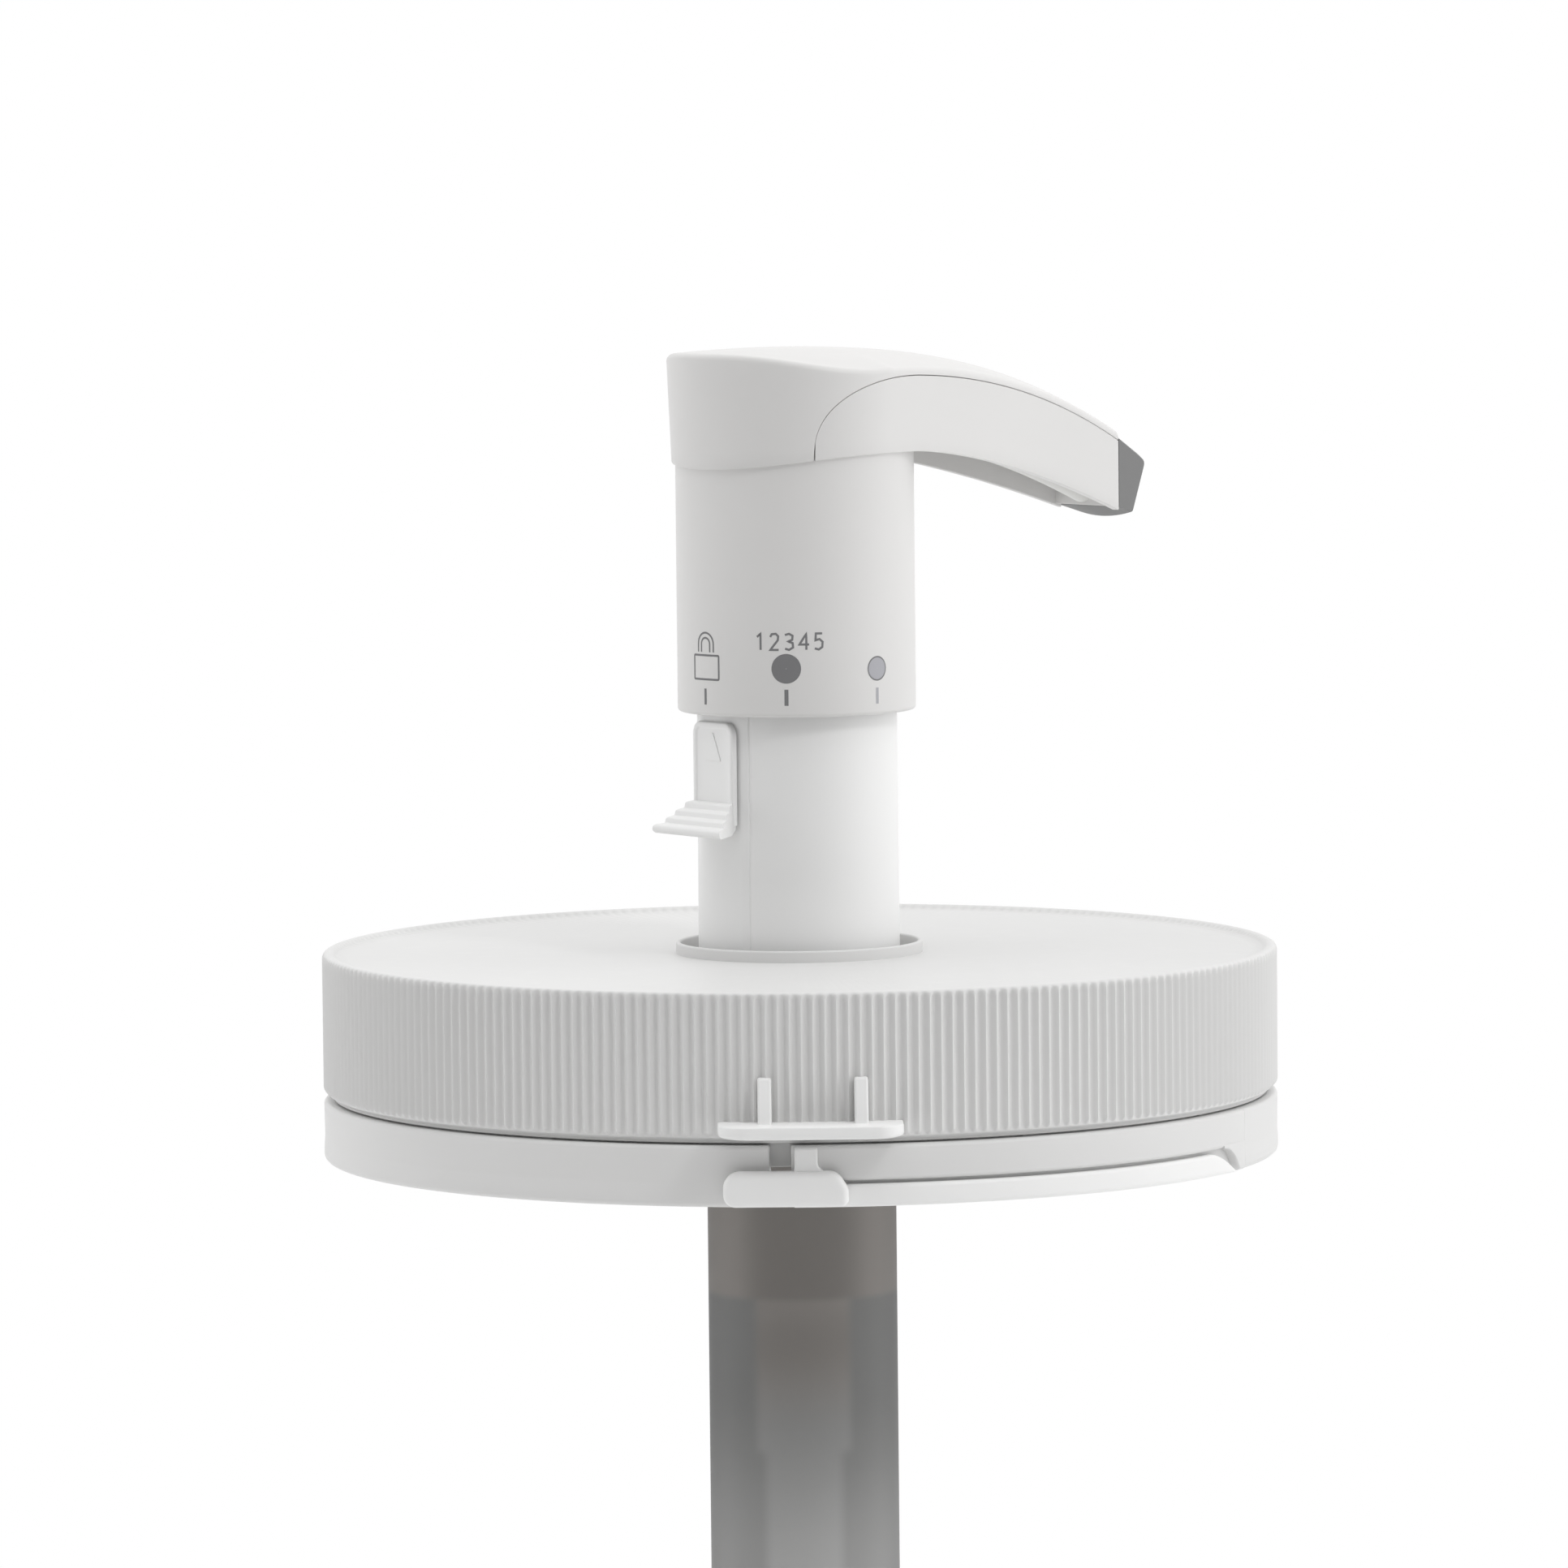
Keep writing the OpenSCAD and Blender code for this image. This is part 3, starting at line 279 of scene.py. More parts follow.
LID_TOP = 3.95
PANEL_Z = 3.3
UNDERSIDE = 1.2
SKIRT_LOW = -14.27
SKIRT_IN_R = 56.85
COVE_R = 58.7
GUARD_R = 57.7
GUARD_LOW = -17.25
RIB_FOOT = -13.38
HOLE_R = 14.9
HOLE_RIM_R = 15.5
HOLE_RIM_TOP = 4.75
LUGS = 6
LUG_IN_R = 55.65
LUG_OUT_R = 57.4
SHELF_LOW = -13.2
SHELF_TOP = -11.6
GUSSET_AT = 5.82
RIB_SHARE = np.array([0.0, 0.12, 0.24, 0.34, 0.41, 0.46, 0.5, 0.54, 0.59, 0.66, 0.76, 0.88])
LID = {"body": "base", "nodes": ("lid_cap",), "slot": "white_lid"}


def lid_grip(sizes):
    """The lid's outer skin. Its radius is R(z) - depth * groove(v) * fade(z): R is the smooth rim, skirt and
    cove, v the distance from the crest's middle in half pitches, groove is sin(90 degrees * v) ^ 1.6, and
    fade is a smooth step that starts at the rim. A rib's foot falls back to the cove's radius by the square
    root of the height over it, and lies lower on one side of its crest than on the other."""
    angles = ((np.arange(sizes.rib_count)[:, None] + RIB_SHARE) * TAU / sizes.rib_count).ravel()
    u = np.tile(RIB_SHARE, sizes.rib_count)
    side = np.where(u > 0.5, u - 1, u)
    v = 2 * np.abs(side)
    groove = np.sin(np.pi * v / 2) ** 1.6
    crest = sizes.crest_radius
    low = crest - sizes.rib_depth
    rows = np.array([
        (HOLE_RIM_R, PANEL_Z), (57.2, PANEL_Z), (58.35, 3.5), (58.5, 3.68), (58.75, LID_TOP - 0.04),
        (59.2, LID_TOP), (crest - 0.42, LID_TOP - 0.05), (crest - 0.2, LID_TOP - 0.17),
        (crest - 0.06, LID_TOP - 0.38), (crest, 3.3), (crest, 2.9), (crest, 2.5), (crest, 2.1), (crest, 1.7),
        (crest, -5), (crest, -12.5), (crest, -12.85), (crest, -13.1), (crest, -13.3), (crest, -13.45)])
    radius, z = rows[:, :1] + 0 * angles, rows[:, 1:] + 0 * angles
    radius = radius - sizes.rib_depth * groove * smooth_step(LID_TOP + 0.05 - z)
    foot = RIB_FOOT + 0.25 * v ** 2 - 0.12 * side
    radius = low + (radius - low) * np.sqrt(np.clip((z - foot) / 0.4, 0, 1))
    cove = rounded([
        (low, -13.5, 0), (low - 0.1, -13.62, 0.3), (COVE_R, -13.95, 0.3), (COVE_R, SKIRT_LOW, 0.1),
        (GUARD_R, SKIRT_LOW, 0)], 3, closed=False)
    points = around(np.vstack([radius, cove[:, :1] + 0 * angles]), angles,
                    np.vstack([z, cove[:, 1:] + 0 * angles]))
    return points, grid_faces(len(points), len(angles), closed_columns=True)[:, ::-1]


def lid_inside():
    """The lid's underside as a lathe profile: the thin lip behind the band, the skirt's inner wall, the
    underside, the socket for the column's flange, and the pump hole up to its rim."""
    profile = rounded([
        (GUARD_R, SKIRT_LOW, 0), (GUARD_R, GUARD_LOW, 0.15), (SKIRT_IN_R, GUARD_LOW, 0.15),
        (SKIRT_IN_R, UNDERSIDE, 0.6), (20.8, UNDERSIDE, 0.3), (20.8, -8, 0.4), (19, -8, 0.4),
        (19, UNDERSIDE, 0.2), (HOLE_R, UNDERSIDE, 0.2), (HOLE_R, HOLE_RIM_TOP, 0.28),
        (HOLE_RIM_R, HOLE_RIM_TOP, 0.28), (HOLE_RIM_R, PANEL_Z, 0)], 4, closed=False)
    columns = 256
    points = lathe(profile, np.linspace(0, TAU, columns, endpoint=False))
    return points, grid_faces(len(points), columns, closed_columns=True)


def thread_lug_profile():
    return rounded([
        (LUG_OUT_R, -5.2, 0), (SKIRT_IN_R, -5.2, 0.1), (LUG_IN_R, -5.8, 0.35), (LUG_IN_R, -6.4, 0.35),
        (SKIRT_IN_R, -7.0, 0.1), (LUG_OUT_R, -7.0, 0)], 3)


def ledge_shelf():
    """The shelf as a stack of outlines, x out from the axis and y across. An outline shrinks by r * (1 -
    sqrt(1 - k^2)), k from 0 to 1 over the height of its rounded lower or upper edge, and the lower edge is
    rounded more towards both ends."""
    edge = rounded([(58.6, -11.15, 0), (65.55, -11.15, 3.4), (65.55, 11.15, 3.4), (58.6, 11.15, 0)], 14)
    r_low, r_high = 0.55, 0.22
    rows = [(SHELF_LOW + r_low * (1 - k), r_low, k) for k in (1, 0.92, 0.75, 0.5, 0.25, 0)]
    rows += [(SHELF_TOP - r_high * (1 - k), r_high, k) for k in (0, 0.5, 0.8, 1)]
    middle = (60, 0)
    points = []
    for height, radius, k in rows:
        shrink = radius * (1 - math.sqrt(1 - k * k))
        ends = 1 + 0.7 * np.clip((np.abs(edge[:, 1]) - 7) / 4, 0, 1) * (height < SHELF_LOW + r_low)
        pull = (shrink * ends)[:, None] * np.sign(edge - middle) * (np.abs(edge - middle) > 2.2)
        points.append(np.column_stack([edge - pull, np.full(len(edge), height)]))
    return turn_z(np.array(points), LEDGE_TURN), tube_faces(len(rows), len(edge))


class PUMP_OT_lid(bpy.types.Operator):
    """Builds the screw lid: ribbed grip, underside, thread lugs and the finger ledge with its gussets"""
    bl_idname = "pump.lid"
    bl_label = "Screw lid"

    def execute(self, context):
        # The ledge and its gussets take the lighter copy of the lid white, a painted highlight
        white, bright = finish("lid white"), finish("painted highlight white")
        put_mesh("lid_grip", *lid_grip(group("pump_lid")), white, sharp=60, **LID)
        put_mesh("lid_inside", *lid_inside(), white, sharp=50, **LID)
        for i in range(LUGS):
            start = 360 * i / LUGS
            put_sector(f"thread_lug_{i + 1}", thread_lug_profile(), start, start + 46, 40, white, **LID)
        ledge = put_mesh("finger_ledge", *ledge_shelf(), bright, **LID)
        point_outwards(ledge)
        mark_sharp(ledge, 40)
        out, across = looking(LEDGE_TURN)
        web = rounded([(58.6, -12, 0), (62.3, -12, 0), (60.45, -6.24, 0.5), (58.6, -6.24, 0)], 6)
        for side, name in ((-1, "gusset_left"), (1, "gusset_right")):
            at = side * GUSSET_AT
            put_plate(name, web, at - 0.53, at + 1.13, bright, (out, UP, across), 0.28, **LID)
        return {"FINISHED"}


# The tamper band and its tear strip. Places along it are degrees from the front.

BAND_TOP = -14.5
BAND_LOW = -21.95
BAND_IN_R = 57.8
BAND_OUT_R = 59.97
GROOVE_TOP = -18.75
GROOVE_R = 58.9
STRIP_TOP = -19.2
BAND_END_TOP = -18.4
FRONT = -90
SPLIT_LEFT = -3.8
SPLIT_RIGHT = -1.25
STRIP_END = 63
BAND_END = 66
BRIDGES = 12
TAB_FRONT = -62.1
BAND = {"body": "base", "nodes": ("tamper_band",), "slot": "white_lid"}
STRIP = {"body": "base", "nodes": ("tear_strip",), "slot": "white_lid"}


def band_profile():
    """The band's whole section: outer face with rounded edges, inner bead that holds the neck's ring."""
    return rounded([
        (BAND_IN_R, BAND_TOP, 0.2), (59.93, BAND_TOP, 0.5), (59.86, -19, 6), (BAND_OUT_R, -20.4, 4),
        (BAND_OUT_R, BAND_LOW, 1.1), (57.9, BAND_LOW, 0.3), (BAND_IN_R, -19.9, 0.3), (55.7, -18.1, 0.5),
        (BAND_IN_R, -16.6, 0.3)], 5)


def band_over_strip_profile():
    """The band's section where the tear strip lies before its lower part."""
    return rounded([
        (BAND_IN_R, BAND_TOP, 0.2), (59.93, BAND_TOP, 0.5), (59.9, GROOVE_TOP, 0.6),
        (GROOVE_R, GROOVE_TOP - 0.05, 0.1), (GROOVE_R, BAND_LOW + 0.15, 0.2), (57.9, BAND_LOW + 0.15, 0.2),
        (BAND_IN_R, -19.9, 0.3), (55.7, -18.1, 0.5), (BAND_IN_R, -16.6, 0.3)], 5)


def strip_profile():
    """The tear strip's section: a bead with wide rounded shoulders."""
    return rounded([
        (59.05, STRIP_TOP, 0.1), (60.15, STRIP_TOP, 1.0), (60.25, BAND_LOW, 1.05), (59.05, BAND_LOW, 0.2)], 8)


def band_end_profile():
    """The band's lower outer part beyond the strip's end."""
    return rounded([
        (58.8, BAND_END_TOP, 0), (59.9, BAND_END_TOP, 0), (BAND_OUT_R, -20.4, 4), (BAND_OUT_R, BAND_LOW, 1.1),
        (58.8, BAND_LOW, 0.2)], 6)


def along_band(points, start, span):
    """How far each point lies into a span of the band, 0 at its start and 1 at its end."""
    return (np.degrees(np.arctan2(points[..., 1], points[..., 0])) - FRONT - start) / span


def fall_away(points):
    """Over its last 6 degrees the strip sinks towards the lower edge: z = low + (z - low) * (1 - t^1.7)."""
    t = np.clip(along_band(points, 57, 6), 0, 0.985)
    points[..., 2] = BAND_LOW + (points[..., 2] - BAND_LOW) * (1 - t ** 1.7)
    return points


def grow_down(points):
    """Over 4.2 degrees the band's end grows down: z = top + (z - top) * (0.12 + 0.88 * t^2.2)."""
    t = np.clip(along_band(points, 60.2, 4.2), 0.03, 1)
    points[..., 2] = BAND_END_TOP + (points[..., 2] - BAND_END_TOP) * (0.12 + 0.88 * t ** 2.2)
    return points


def tear_tab():
    """The tear tab: a bar with a blunt round left end, a long curve at its right end and a full rounding
    round its face. Rows of the outline shrink by edge * (1 - cos a) while y runs from front + edge * (1 - sin
    a) to the front; the last rows meet at the middle line of the bar."""
    outline = rounded([
        (-9.5, -21.7, 1.5), (-9.55, -17.4, 2.2), (4.2, -17.4, 2.0), (5.55, -19.5, 1.6),
        (5.55, -21.7, 0.95)], 12)
    edge = 0.85
    normal = left_of(outline)
    low, high = outline.min(0), outline.max(0)
    middle = np.stack([np.clip(outline[:, 0], low[0] + 2.2, high[0] - 2.2),
                       np.full(len(outline), (low[1] + high[1]) / 2)], -1)
    back = TAB_FRONT + 1.9
    rows = [(back, inset(outline, normal, middle, 0, 1)), (back, outline)]
    for a in np.radians(np.linspace(0, 90, 7)):
        rows.append((TAB_FRONT + edge * (1 - math.sin(a)),
                     inset(outline, normal, middle, edge * (1 - math.cos(a)))))
    rows += [(TAB_FRONT, inset(outline, normal, middle, edge, share)) for share in (0.5, 1)]
    points = np.stack([np.stack([q[:, 0], np.full(len(q), y), q[:, 1]], -1) for y, q in rows])
    return points, grid_faces(len(rows), len(outline), closed_columns=True)


class PUMP_OT_band(bpy.types.Operator):
    """Builds the tamper band, its bridges, the tear strip and the tear tab"""
    bl_idname = "pump.band"
    bl_label = "Tamper band"

    def execute(self, context):
        # The tear strip, tab and stem take the lighter copy of the lid white, a painted highlight
        white, bright = finish("lid white"), finish("painted highlight white")
        for name, profile, start, end, columns in (
                ("band_plain", band_profile(), BAND_END, SPLIT_LEFT + 360, 260),
                ("band_over_strip", band_over_strip_profile(), SPLIT_RIGHT, BAND_END + 0.05, 110)):
            piece = put_sector(name, profile, FRONT + start, FRONT + end, columns, white, **BAND)
            add_bevel(piece, 0.35, 60, 4)
        put_sector("band_end", band_end_profile(), FRONT + 60.2, FRONT + BAND_END + 0.02, 40, white,
                   grow_down, **BAND)
        bridge = [(57.75, -14.1), (57.95, -14.1), (57.95, -14.7), (57.75, -14.7)]
        for i in range(BRIDGES):
            middle = 360 * i / BRIDGES + 28
            put_sector(f"bridge_{i + 1}", bridge, middle - 0.573, middle + 0.573, 3, white, **BAND)
        put_sector("tear_strip_bead", strip_profile(), FRONT + SPLIT_RIGHT + 0.3, FRONT + STRIP_END, 180,
                   bright, fall_away, **STRIP)
        tab = put_mesh("tear_tab", *tear_tab(), bright, **STRIP)
        weld(tab)
        point_outwards(tab)
        stem = rounded([
            (-1.2, -18.6, 0), (-0.95, -17.1, 1.5), (-0.9, -14.6, 0), (1.85, -14.6, 0), (1.85, -17.0, 1.2),
            (3.1, -17.75, 0.5), (3.1, -18.6, 0)], 6)
        put_plate("tear_stem", stem, -61.35, -59.9, bright, ((1, 0, 0), UP, (0, 1, 0)), 0.3, **STRIP)
        return {"FINISHED"}


# The head and its arm, drawn along +X and turned to the side they face

HEAD_TOP = 79.27
HEAD_LOW = 66.25
ARM_LEN = 48.4
ARM_START = 7.8
ARM_RISE = 9.2
TAPER = math.radians(11.5)
RIDGE_START = -1.95
RIDGE_FALL = 11.15
CROWN = 2.8
TOP_WALL = 1.6
SEAM_BACK = -7.8
SEAM_BEND = 8.0
SEAM_RISE = 10.0
SEAM_DROP = 0.6
LAP = 0.9
TIP_LOW = 57.45
OUTLET_R = 1.6
OUTLET_DEPTH = 3.5
SLEEVE_R = 14.95
SLEEVE_IN_R = 13.9
SLEEVE_LOW = 33.8
SLEEVE_TOP = 67.0
COVER = {"body": "head", "nodes": ("head_cover",), "slot": "white_satin"}
ARM = {"body": "head", "nodes": ("arm_body",), "slot": "white_satin"}
TIP = {"body": "head", "nodes": ("nozzle_tip",), "slot": "grey_tip"}
SLEEVE = {"body": "head", "nodes": ("sleeve",), "slot": "white_satin"}


def ridge(s):
    """Height of the ridge: top - fall * (share of the arm's length) ^ 2.3, with a slight fall to the back."""
    ahead = np.maximum(s - RIDGE_START, 0) / (ARM_LEN - RIDGE_START)
    behind = np.minimum(s - RIDGE_START, 0) / (HEAD_R + RIDGE_START)
    return HEAD_TOP - RIDGE_FALL * ahead ** 2.3 - 0.4 * behind ** 2


def low_edge(s):
    """The head's lower edge: flat under the arm's root, a parabola to the back, a power curve along the
    arm."""
    behind = np.minimum(s - ARM_START / 2, 0) / (ARM_START / 2 + HEAD_R)
    ahead = np.maximum(s - ARM_START, 0) / (ARM_LEN - ARM_START)
    return HEAD_LOW - 1.8 * behind ** 2 - ARM_RISE * ahead ** 1.6


def half_width(s):
    """Half the arm's width: r / cos(taper) - s * tan(taper), kept at r over the head."""
    return np.where(s < HEAD_R * math.sin(TAPER), HEAD_R, HEAD_R / math.cos(TAPER) - s * math.tan(TAPER))


def top_at(s, t):
    """The crowned top: ridge(s) - crown(s) * (t / half width) ^ 3."""
    crown = CROWN - 1.3 * np.clip(s, 0, None) / ARM_LEN
    return ridge(s) - crown * np.abs(t / half_width(s)) ** 3


def seam_at(s):
    """The seam between cover and arm: just under the top's edge, bent down at its back by a quarter of a
    superellipse, drop = rise * (1 - (1 - k^2.5)^0.4) with k from 0 at the bend to 1 at the back."""
    ahead = np.maximum(s, SEAM_BEND)
    k = np.clip((SEAM_BEND - s) / (SEAM_BEND - SEAM_BACK), 0, 1)
    return top_at(ahead, half_width(ahead)) - SEAM_DROP - SEAM_RISE * (1 - (1 - k ** 2.5) ** 0.4)


def head_outline(radius):
    """The head's outline from above: points, outward normals and the point of the middle line for each. Two
    straight sides at the taper's angle touch the circle of the head. The middle line's point lies where the
    normal meets it, and moves to the same station towards the arm's end."""
    c, s = math.cos(TAPER), math.sin(TAPER)
    side_s = np.linspace(ARM_LEN, radius * s, 56)
    arc = np.radians(np.concatenate([
        np.linspace(78.5, 108, 14)[1:], np.linspace(108, 124, 64)[1:], np.linspace(124, 236, 56)[1:],
        np.linspace(236, 252, 64)[1:], np.linspace(252, 281.5, 14)[1:-1]]))
    side_t = radius / c - side_s * math.tan(TAPER)
    x = np.concatenate([side_s, radius * np.cos(arc), side_s[::-1]])
    y = np.concatenate([side_t, radius * np.sin(arc), -side_t[::-1]])
    nx = np.concatenate([s + 0 * side_s, np.cos(arc), s + 0 * side_s])
    ny = np.concatenate([c + 0 * side_s, np.sin(arc), -c + 0 * side_s])
    share = (ARM_LEN - side_s) / (ARM_LEN - radius * s)
    mid = side_s - side_t * math.tan(TAPER) * share
    mid = np.concatenate([mid, 0 * arc, mid[::-1]])
    return np.stack([x, y], -1), np.stack([nx, ny], -1), np.stack([mid, 0 * mid], -1)


def stack(rows):
    """Rows of (flat points, heights) as one grid of points, turned to the arm's side."""
    return turn_z(np.stack([np.concatenate([p, z[:, None]], axis=1) for p, z in rows]), ARM_TURN)


def flare(z, s):
    """The head's wall leans out upwards: 0.2 in at its foot, 0.3 out at its top, fading along the arm."""
    fade = np.clip(1 - (s - 3) / 25, 0, 1)
    return (0.2 - 0.5 * np.clip((z - 65) / 12.5, 0, 1)) * fade


def cover_surface(sizes):
    """The head cover: wall from the lower edge or the seam up, a rounded top edge, and the crowned top."""
    p, n, mid = head_outline(sizes.head_radius)
    s = p[:, 0]
    foot = np.where(s > SEAM_BACK, seam_at(s), low_edge(s)) + sizes.seam / 2
    edge = sizes.back_round + (sizes.arm_round - sizes.back_round) * smooth_step((s - 2) / 30)

    def crest_inside(edge):
        inner = inset(p, n, mid, edge)
        return top_at(inner[:, 0], inner[:, 1])
    edge = np.minimum(edge, np.maximum(crest_inside(edge) - foot - 0.15, 0.1))
    crest = crest_inside(edge)
    rows = [(inset(p, n, mid, depth + flare(foot, s)), foot) for depth in (LAP, 0.06)]
    for share in np.linspace(0, 1, 9):
        z = foot + 0.06 + (crest - edge - foot - 0.06) * share
        rows.append((inset(p, n, mid, flare(z, s)), z))
    for a in np.radians(np.linspace(12, 90, 7)):
        z = crest - edge + edge * math.sin(a)
        rows.append((inset(p, n, mid, edge * (1 - math.cos(a)) + flare(z, s)), z))
    for share in np.linspace(0, 1, 15)[1:]:
        q = inset(p, n, mid, edge + flare(crest, s), share)
        rows.append((q, top_at(q[:, 0], q[:, 1])))
    return stack(rows)


def put_cover(sizes, look):
    """The cover with the arm's end closed by one face over both ends of its rows."""
    points = cover_surface(sizes)
    rows, columns = points.shape[:2]
    right = [i * columns for i in range(rows)]
    end = [i + columns - 1 for i in right] + right[::-1]
    cover = put_mesh("head_cover_shell", points, [*grid_faces(rows, columns), end], look, **COVER)
    weld(cover)
    mark_sharp(cover, 45)


def arm_sides(sizes):
    """The two sides of the arm below the seam, each from the arm's end back to the seam's upright part. Rows
    run from the web under the cover down the inner wall, round the lower edge, up the outer wall and into the
    seam."""
    p, n, mid = head_outline(sizes.head_radius)
    keep = p[:, 0] > SEAM_BACK + sizes.seam
    half = len(p) // 2
    for side in (slice(0, half), slice(half, len(p))):
        pick = keep[side]
        q, m, c = p[side][pick], n[side][pick], mid[side][pick]
        s = q[:, 0]
        low = low_edge(s) + 0.06
        head = seam_at(s) - sizes.seam / 2
        wall = sizes.wall

        def web(share):
            r = inset(q, m, c, wall, share)
            return r, top_at(r[:, 0], r[:, 1]) - TOP_WALL - 1.32
        rows = [web(share) for share in (1, 0.75, 0.5, 0.25, 0)]
        rows += [(inset(q, m, c, wall), low + 0.12), (inset(q, m, c, wall - 0.12), low),
                 (inset(q, m, c, 0.15 + flare(low, s)), low),
                 (inset(q, m, c, 0.04 + flare(low, s)), low + 0.04)]
        for share in np.linspace(0, 1, 8):
            z = low + 0.15 + (head - 0.06 - low - 0.15) * share
            rows.append((inset(q, m, c, flare(z, s)), z))
        rows += [(inset(q, m, c, depth + flare(head, s)), head) for depth in (0.06, LAP)]
        yield stack(rows)


def nozzle_section(top, brow, chin):
    """A section of the grey tip in the arm's upright plane."""
    back = ARM_LEN + 0.12
    return rounded([(back, TIP_LOW, 0.05), (back, top, 0.05), (53.9, brow, 0.7), (51.2, chin, 0.5)], 4)


def put_nozzle(look):
    """The grey tip. Its section is carried across the arm's width, t = tau * half width(s), from the sides'
    shape to the middle's by 1 - tau^2. The front face is left out, and runs from its four edges to the round
    mouth of the outlet and down the outlet's bore."""
    tau = np.linspace(-1, 1, 17)[:, None]
    side, middle = nozzle_section(66.2, 63.1, 56.6), nozzle_section(68.05, 64.9, 55.75)
    flat = side + (middle - side) * (1 - tau ** 2)[..., None]
    grid = np.stack([flat[..., 0], tau * half_width(flat[..., 0]), flat[..., 1]], axis=-1)
    columns, n = grid.shape[:2]
    top, low = 14, 15
    faces = [f for f in grid_faces(columns, n, closed_columns=True) if not set(f % n) <= {top, low}]
    loop = [c * n + top for c in range(columns)] + [c * n + low for c in range(columns)][::-1]
    points = grid.reshape(-1, 3)
    edge = points[loop]
    centre = np.array([52.7, 0, 59.3])
    along = np.array([0.955, 0, -0.297])
    up = np.array([0.297, 0, 0.955])
    angle = np.arctan2((edge - centre) @ up, edge[:, 1])[:, None]
    circle = centre + OUTLET_R * (np.cos(angle) * np.array([0, 1, 0]) + np.sin(angle) * up)
    floor = centre - along * OUTLET_DEPTH
    rings = [(edge + circle) / 2, circle, circle - along * OUTLET_DEPTH, floor + 0 * circle]
    m = len(loop)
    ids = [loop] + [[len(points) + r * m + k for k in range(m)] for r in range(len(rings))]
    for a, b in zip(ids[:-1], ids[1:]):
        faces += [[a[k], a[(k + 1) % m], b[(k + 1) % m], b[k]] for k in range(m)]
    faces += [list(range(n)), [columns * n - 1 - k for k in range(n)]]
    tip = put_mesh("nozzle_tip_shell", turn_z(np.vstack([points, *rings]), ARM_TURN), faces, look, **TIP)
    weld(tip)
    point_outwards(tip)
    add_bevel(tip, 0.22, 38)
    mark_sharp(tip, 40)


def sleeve_surface():
    """The sleeve: its inner wall, a rounded lower edge, and the outer wall that rises straight into the
    head."""
    foot = rounded([
        (SLEEVE_IN_R, 60, 0), (SLEEVE_IN_R, SLEEVE_LOW, 0.25), (SLEEVE_R, SLEEVE_LOW, 0.7),
        (SLEEVE_R, 40, 0)], 6, closed=False)[:-1]
    wall = [(SLEEVE_R, z) for z in (46, 54, 60, SLEEVE_TOP)]
    section = np.vstack([foot, wall, [(SLEEVE_IN_R, SLEEVE_TOP)]])
    columns = 288
    points = lathe(section, np.linspace(0, TAU, columns, endpoint=False) + ARM_TURN)
    return points, grid_faces(len(points), columns, closed_rows=True, closed_columns=True)


class PUMP_OT_head(bpy.types.Operator):
    """Builds the head cover, the arm below it, the grey nozzle tip and the sleeve"""
    bl_idname = "pump.head"
    bl_label = "Head and arm"

    def execute(self, context):
        sizes = group("pump_head")
        white = finish("white satin")
        put_cover(sizes, white)
        for name, points in zip(("arm_side_left", "arm_side_right"), arm_sides(sizes)):
            put_mesh(name, points, grid_faces(*points.shape[:2]), white, sharp=45, **ARM)
        out, across = looking(ARM_TURN)
        half = half_width(ARM_LEN - 0.5) - 0.5
        wall = rounded([(-half, 57.6, 0), (half, 57.6, 0), (half, 65.5, 0), (-half, 65.5, 0)])
        put_plate("arm_end_wall", wall, ARM_LEN - 1.1, ARM_LEN - 0.1, white, (across, UP, out), 0.1, **ARM)
        put_nozzle(finish("grey tip"))
        put_mesh("sleeve_shell", *sleeve_surface(), white, sharp=50, **SLEEVE)
        return {"FINISHED"}


# The column with its rail and slot. Angles on it are degrees from the rail's middle.

COLUMN_TOP = 50
COLUMN_R = 12.5
COLUMN_GROWTH = 0.16
BORE_R = 10.9
FLANGE_R = 18.6
FLANGE_LOW = -1.2
FLANGE_TOP = 0.6
RAIL_R = 12.74
RAIL_HALF = 24.7
SLOT_HALF = 9.3
SLOT_LOW = 20.3
SLOT_TOP = 31.9


def column_radius(phi, z):
    """The outer radius: the tapered tube, and over the rail an even radius whose last five degrees fall
    softly to a small step. Beside the step runs a shallow groove, 0.1 * e ^ -(distance / width)^2 deep."""
    tube = COLUMN_R + COLUMN_GROWTH * (1 - z / COLUMN_TOP)
    beyond = np.abs(phi) - RAIL_HALF
    soft = RAIL_R - 0.12 * smooth_step((beyond + 4.8) / 4.6)
    step = smooth_step(beyond / 0.4)
    return soft * (1 - step) + (tube - 0.1 * np.exp(-((beyond - 0.5) / 0.8) ** 2)) * step


